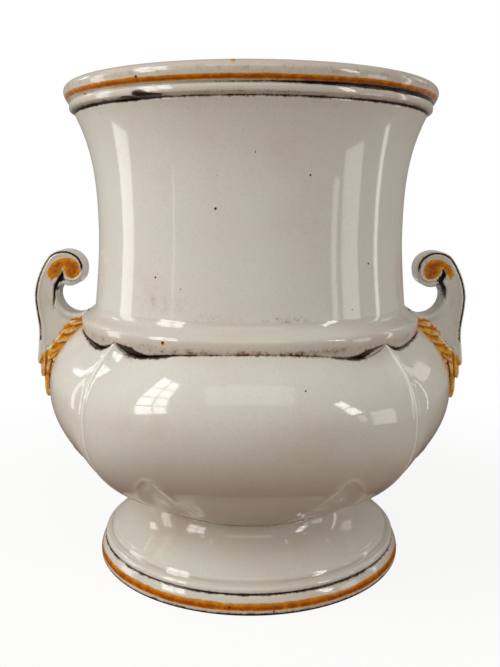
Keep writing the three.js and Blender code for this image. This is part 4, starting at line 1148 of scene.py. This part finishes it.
# One tongue of the leaf: a flattened teardrop whose tip curls out, with a vein pressed along its
# top. width(t) = w * (1 - |2 t^0.75 - 1|^3.2)^0.5, and the section is an ellipse.
def tongue(root, tip, halfWidth, halfThick, outwards):
    steps, sides = leaf["lengthSteps"], leaf["ringSteps"]
    t = np.linspace(0, 1, steps)
    run = tip - root
    ahead = run / np.linalg.norm(run)
    up = outwards - ahead * (outwards @ ahead)
    up /= np.linalg.norm(up)
    aside = np.cross(ahead, up)
    swell = np.sqrt(1 - np.abs(2 * np.clip(t, 0.004, 0.996) ** 0.75 - 1) ** 3.2)[:, None]
    curl = 1.1 * t ** 3 - 0.35 * np.sin(np.pi * t)
    turn = np.linspace(0, 2 * math.pi, sides, endpoint=False)
    centre = root + t[:, None] * run + curl[:, None] * up
    vein = 1 - leaf["vein"] * bell(turn, math.pi / 2, 0.42)
    wide = halfWidth * swell * np.cos(turn)
    thick = halfThick * swell * (np.sin(turn) * vein)
    points = centre[:, None] + wide[..., None] * aside + thick[..., None] * up
    return points.reshape(-1, 3), capped(steps, sides)


# Faces of a tube of rings, closed by a cap at each end
def capped(rings, sides):
    ring = np.arange(sides)[None]
    return [gridFaces(rings, sides, False, True), ring[:, ::-1], ring + (rings - 1) * sides]


# The leaf's body fills the wedge between the handle's base and the bowl: an outline in (out, up)
# carried across y, narrower towards the point and drawn in by 0.16 * share^4 at its sides
def leafBody():
    line = curveThrough(leaf["body"], 120)[:-1]
    half = np.interp(line[:, 1], leaf["bodyAt"], leaf["bodyHalf"])
    shares = np.linspace(-1, 1, 9)[:, None]
    middle = line.mean(0)
    drawnIn = middle + (line - middle) * (1 - 0.16 * np.abs(shares) ** 4)[..., None]
    points = np.stack([drawnIn[..., 0], half * shares, drawnIn[..., 1]], -1)
    return points.reshape(-1, 3), capped(len(shares), len(line))


# Averages each point with its neighbours along the edges, several times
def neighbourMean(values, edges, times):
    count = np.bincount(edges.ravel(), minlength=len(values))[:, None]
    for _ in range(times):
        total = np.zeros_like(values)
        np.add.at(total, edges[:, 0], values[edges[:, 1]])
        np.add.at(total, edges[:, 1], values[edges[:, 0]])
        values = total / count
    return values


# One array of a mesh's own values, such as its points' places
def readFrom(items, key, width, kind=float):
    values = np.zeros(len(items) * width, kind)
    items.foreach_get(key, values)
    return values.reshape(-1, width)


# Pushes all tongues and the body into one skin, softens it as glaze does, and paints it: the ochre
# is brushed on from the bowl's side, breaks to gold and cream on the ridges and gathers brown between
def buildLeaf(name, s, turnedRound, material):
    tubes = [leafBody()]
    for kind, outwards in (("side", (0.15, 1, 0.25)), ("outer", (1, 0.1, 0.1))):
        for root, tip, wide, thick in s[kind]:
            for flip in ((-1, 1) if root[1] else (1,)):
                mirror = np.array([1, flip, 1])
                tubes.append(tongue(root * mirror, tip * mirror, wide, thick, outwards * mirror))
    starts = np.cumsum([0] + [len(points) for points, _ in tubes])
    blocks = [block + start for (_, caps), start in zip(tubes, starts) for block in caps]
    shape = np.vstack([points for points, _ in tubes]) + [handle["foot"], 0, handle["seat"]]
    rough = sealed(makePiece(name, shape, blocks, material))
    skin = rough.modifiers.new("skin", "REMESH")
    skin.mode = "VOXEL"
    skin.voxel_size = s["voxel"] * mm
    mesh = bpy.data.meshes.new_from_object(rough.evaluated_get(bpy.context.evaluated_depsgraph_get()))
    bpy.data.objects.remove(rough)
    co = readFrom(mesh.vertices, "co", 3) / mm
    edges = readFrom(mesh.edges, "vertices", 2, int)
    soft = 0.5 * co + 0.5 * neighbourMean(co, edges, s["smoothing"])
    normals = readFrom(mesh.vertices, "normal", 3)
    proud = np.sum((soft - neighbourMean(soft, edges, 9)) * normals, 1)
    places = soft[:, [0, 2]] - [handle["foot"], handle["seat"]]
    painted = leafOchre(places)
    gather = 0.55 * ease(-proud, 0.12, 0.4) * ease(painted, 0.5, 0.95)
    corner = 1.1 * bell(awayFrom(places, s["corner"]), 0, s["cornerReach"])
    dark = 0.6 * bell(nearLine(places, s["darkLine"])[0], 0, 1.0)
    if turnedRound:
        soft[:, :2] *= -1
    mesh.vertices.foreach_set("co", (soft * mm).ravel())
    mesh.update()
    dress(mesh, material, {"ochre": painted * np.clip(0.62 - 2.2 * proud, 0.34, 1.1),
                           "manganese": np.max([gather, dark, corner], 0),
                           "toneAndShade": 0.25 * ease(-proud, 0.0, 0.2)})
    return addObject(name, mesh)


ochreGlaze = tinGlaze("ochreEnamelOnRelief", leafLook)
for side, halfRound in (("right", False), ("left", True)):
    piece = buildLeaf(f"leafGlazed_{side}", leaf, halfRound, ochreGlaze)
    finishPiece(piece, [f"leaf_{side}"])

# Lengths in metres. For mirrored rays the white comes in between the two numbers, as the y of a place on
# the floor or of a direction in the room.
studio = {"floorRadius": 0.95, "rings": 24, "columns": 64,
          "clearFrom": 0.22, "clearTo": 0.6, "floorWhite": 0.88,
          "floorMirrored": (0.82, 0.94), "roomMirrored": (0.955, 0.995),
          "room": "#b7b1a9", "roomStrength": 0.6,
          "floorSeen": "#fafaf8", "floorBounce": "#8c7462"}
white = {"Color": (1, 1, 1, 1), "Strength": 1.0}


# 1 where a ray sees the background: straight from the camera, or mirrored or through glass where the
# coordinate's y lies behind the urn
def seesBackground(tree, coordinate, behind):
    path = addNode(tree, "LightPath")
    bounced = addNode(tree, "Math", {0: (path, "Is Glossy Ray"), 1: (path, "Is Transmission Ray")},
                      operation="MAXIMUM")
    where = addNode(tree, "SeparateXYZ", {0: (addNode(tree, "TexCoord"), coordinate)})
    share = addNode(tree, "MapRange", {"Value": (where, "Y"), "From Min": behind[0], "From Max": behind[1]},
                    interpolation_type="SMOOTHSTEP")
    mirrored = addNode(tree, "Math", {0: (bounced, 0), 1: (share, 0)}, operation="MULTIPLY")
    return addNode(tree, "Math", {0: (path, "Is Camera Ray"), 1: (mirrored, 0)}, operation="MAXIMUM"), 0


# A matt floor. Where it counts as background it is pale, and past the shadow it turns to pure white.
def floorFinish(s):
    material = bpy.data.materials.new("paleStudioFloor")
    tree = emptyTree(material)
    seen = seesBackground(tree, "Object", s["floorMirrored"])
    colour = addNode(tree, "Mix", {mixAmount: seen, mixUnder: linear(s["floorBounce"]),
                                   mixOver: linear(s["floorSeen"])}, data_type="RGBA")
    matt = addNode(tree, "BsdfDiffuse", {"Color": (colour, mixResult)})
    distance = addNode(tree, "VectorMath", {0: (addNode(tree, "TexCoord"), "Object")}, operation="LENGTH")
    clear = addNode(tree, "MapRange", {"Value": (distance, "Value"), "From Min": s["clearFrom"],
                                       "From Max": s["clearTo"], "To Min": s["floorWhite"]},
                    interpolation_type="SMOOTHSTEP")
    fade = addNode(tree, "Math", {0: (clear, 0), 1: seen}, operation="MULTIPLY")
    both = addNode(tree, "MixShader", {0: (fade, 0), 1: (matt, 0), 2: (addNode(tree, "Emission", white), 0)})
    addNode(tree, "OutputMaterial", {"Surface": (both, 0)})
    return material


# A round floor in rings that widen outwards, r = R * share^2
def buildFloor(s):
    rings, columns = s["rings"], s["columns"]
    radii = s["floorRadius"] / mm * (np.arange(1, rings + 1) / rings) ** 2
    angles = np.linspace(0, 2 * math.pi, columns, endpoint=False)[:, None]
    grid = aroundAxis(angles, np.broadcast_to(radii, (columns, rings)), np.zeros((columns, rings)))
    blocks = [gridFaces(columns, rings, True, False), fan(np.arange(columns) * rings, columns * rings)]
    floor = makePiece("studioFloor", np.vstack([grid, [(0, 0, 0)]]), blocks, floorFinish(s))
    if floor.data.polygons[0].normal.z < 0:
        floor.data.flip_normals()


# A plain grey room, which turns white for the camera all round, and for mirrored rays straight behind
# the urn
def buildWorld(s):
    world = bpy.data.worlds.new("studio")
    bpy.context.scene.world = world
    tree = emptyTree(world)
    seen = seesBackground(tree, "Generated", s["roomMirrored"])
    room = addNode(tree, "Background", {"Color": linear(s["room"]), "Strength": s["roomStrength"]})
    both = addNode(tree, "MixShader", {0: seen, 1: (room, 0), 2: (addNode(tree, "Background", white), 0)})
    addNode(tree, "OutputWorld", {"Surface": (both, 0)})


buildFloor(studio)
buildWorld(studio)

# Window light from both sides, each window a grid of soft panes with thin bars between: side of the
# room (x), centre along y and in height, width and height, lean in degrees, panes across and up, and
# brightness, where 1 looks white
windows = {
    "leftStrip": (-1.55, 0.15, 0.42, 0.4, 1.16, 0, 1, 1, 2.7),
    "leftPost": (-1.55, -1.125, 0.2, 0.11, 0.6, 0, 1, 1, 1.6),
    "leftTall": (-1.55, -0.86, 1.34, 0.86, 1.9, -23, 2, 4, 6.9),
    "leftFar": (-1.55, 0.8, 1.02, 0.32, 0.36, 0, 1, 1, 3.8),
    "rightStrip": (1.55, -0.48, 0.145, 0.48, 0.61, 0, 1, 1, 2.0),
    "rightSlit": (1.55, 0.26, 0.47, 0.16, 1.26, 0, 1, 1, 2.9),
    "rightTall": (1.55, -1.06, 0.82, 0.34, 0.84, 12, 1, 2, 8.7),
    "rightLow": (1.55, -0.9, 0.2, 0.2, 0.34, 12, 1, 1, 2.0),
    "rightFar": (1.55, 0.85, 0.96, 0.5, 0.5, 0, 1, 1, 1.1),
}
bar = 0.05  # metres between two panes
perArea = 4.0  # an area lamp of P watts and A square metres looks P / (4 A) bright
paneColour, ceilingColour = "#fffefc", "#fffcf8"


# One soft area lamp, as bright as brightness says whatever its size
def softLamp(name, place, turn, width, tall, brightness, colour):
    lamp = bpy.data.lights.new(name, "AREA")
    lamp.shape = "RECTANGLE"
    lamp.size, lamp.size_y = width, tall
    lamp.energy = perArea * brightness * width * tall
    lamp.color = linear(colour)[:3]
    addObject(name, lamp).matrix_world = Matrix.Translation(place) @ turn


# A turn about X or Z in degrees
def turnBy(degrees, axis):
    return Matrix.Rotation(math.radians(degrees), 4, axis)


for name, (wall, middle, height, width, tall, lean, across, up, brightness) in windows.items():
    pane, paneTall = width / across, tall / up
    facing = turnBy(lean, "X") @ turnBy(90 if wall > 0 else -90, "Z") @ turnBy(90, "X")
    for i in range(across):
        for j in range(up):
            offset = (0, pane * (i + 0.5) - width / 2, paneTall * (j + 0.5) - tall / 2)
            aside = turnBy(lean, "X") @ Vector(offset)
            softLamp(f"{name}{i}{j}", Vector((wall, middle, height)) + aside, facing, pane - bar,
                     paneTall - bar, brightness, paneColour)
softLamp("ceilingBounce", (0, -1.35, 1.5), turnBy(45, "X"), 1.5, 0.9, 1.02, ceilingColour)

# The camera stands in front of the urn, a little over it, and looks down
cameraView = {"lens": 40.56, "sensor": 36, "place": (0, -0.620, 0.2924), "down": 10.04, "roll": 0.255}
camera = bpy.data.cameras.new("camera")
camera.lens, camera.sensor_width = cameraView["lens"], cameraView["sensor"]
view = addObject("camera", camera)
view.matrix_world = (Matrix.Translation(cameraView["place"]) @ turnBy(90 - cameraView["down"], "X")
                     @ turnBy(cameraView["roll"], "Z"))
bpy.context.scene.camera = view
bpy.context.scene.view_settings.view_transform = "Standard"
print("studio ready")
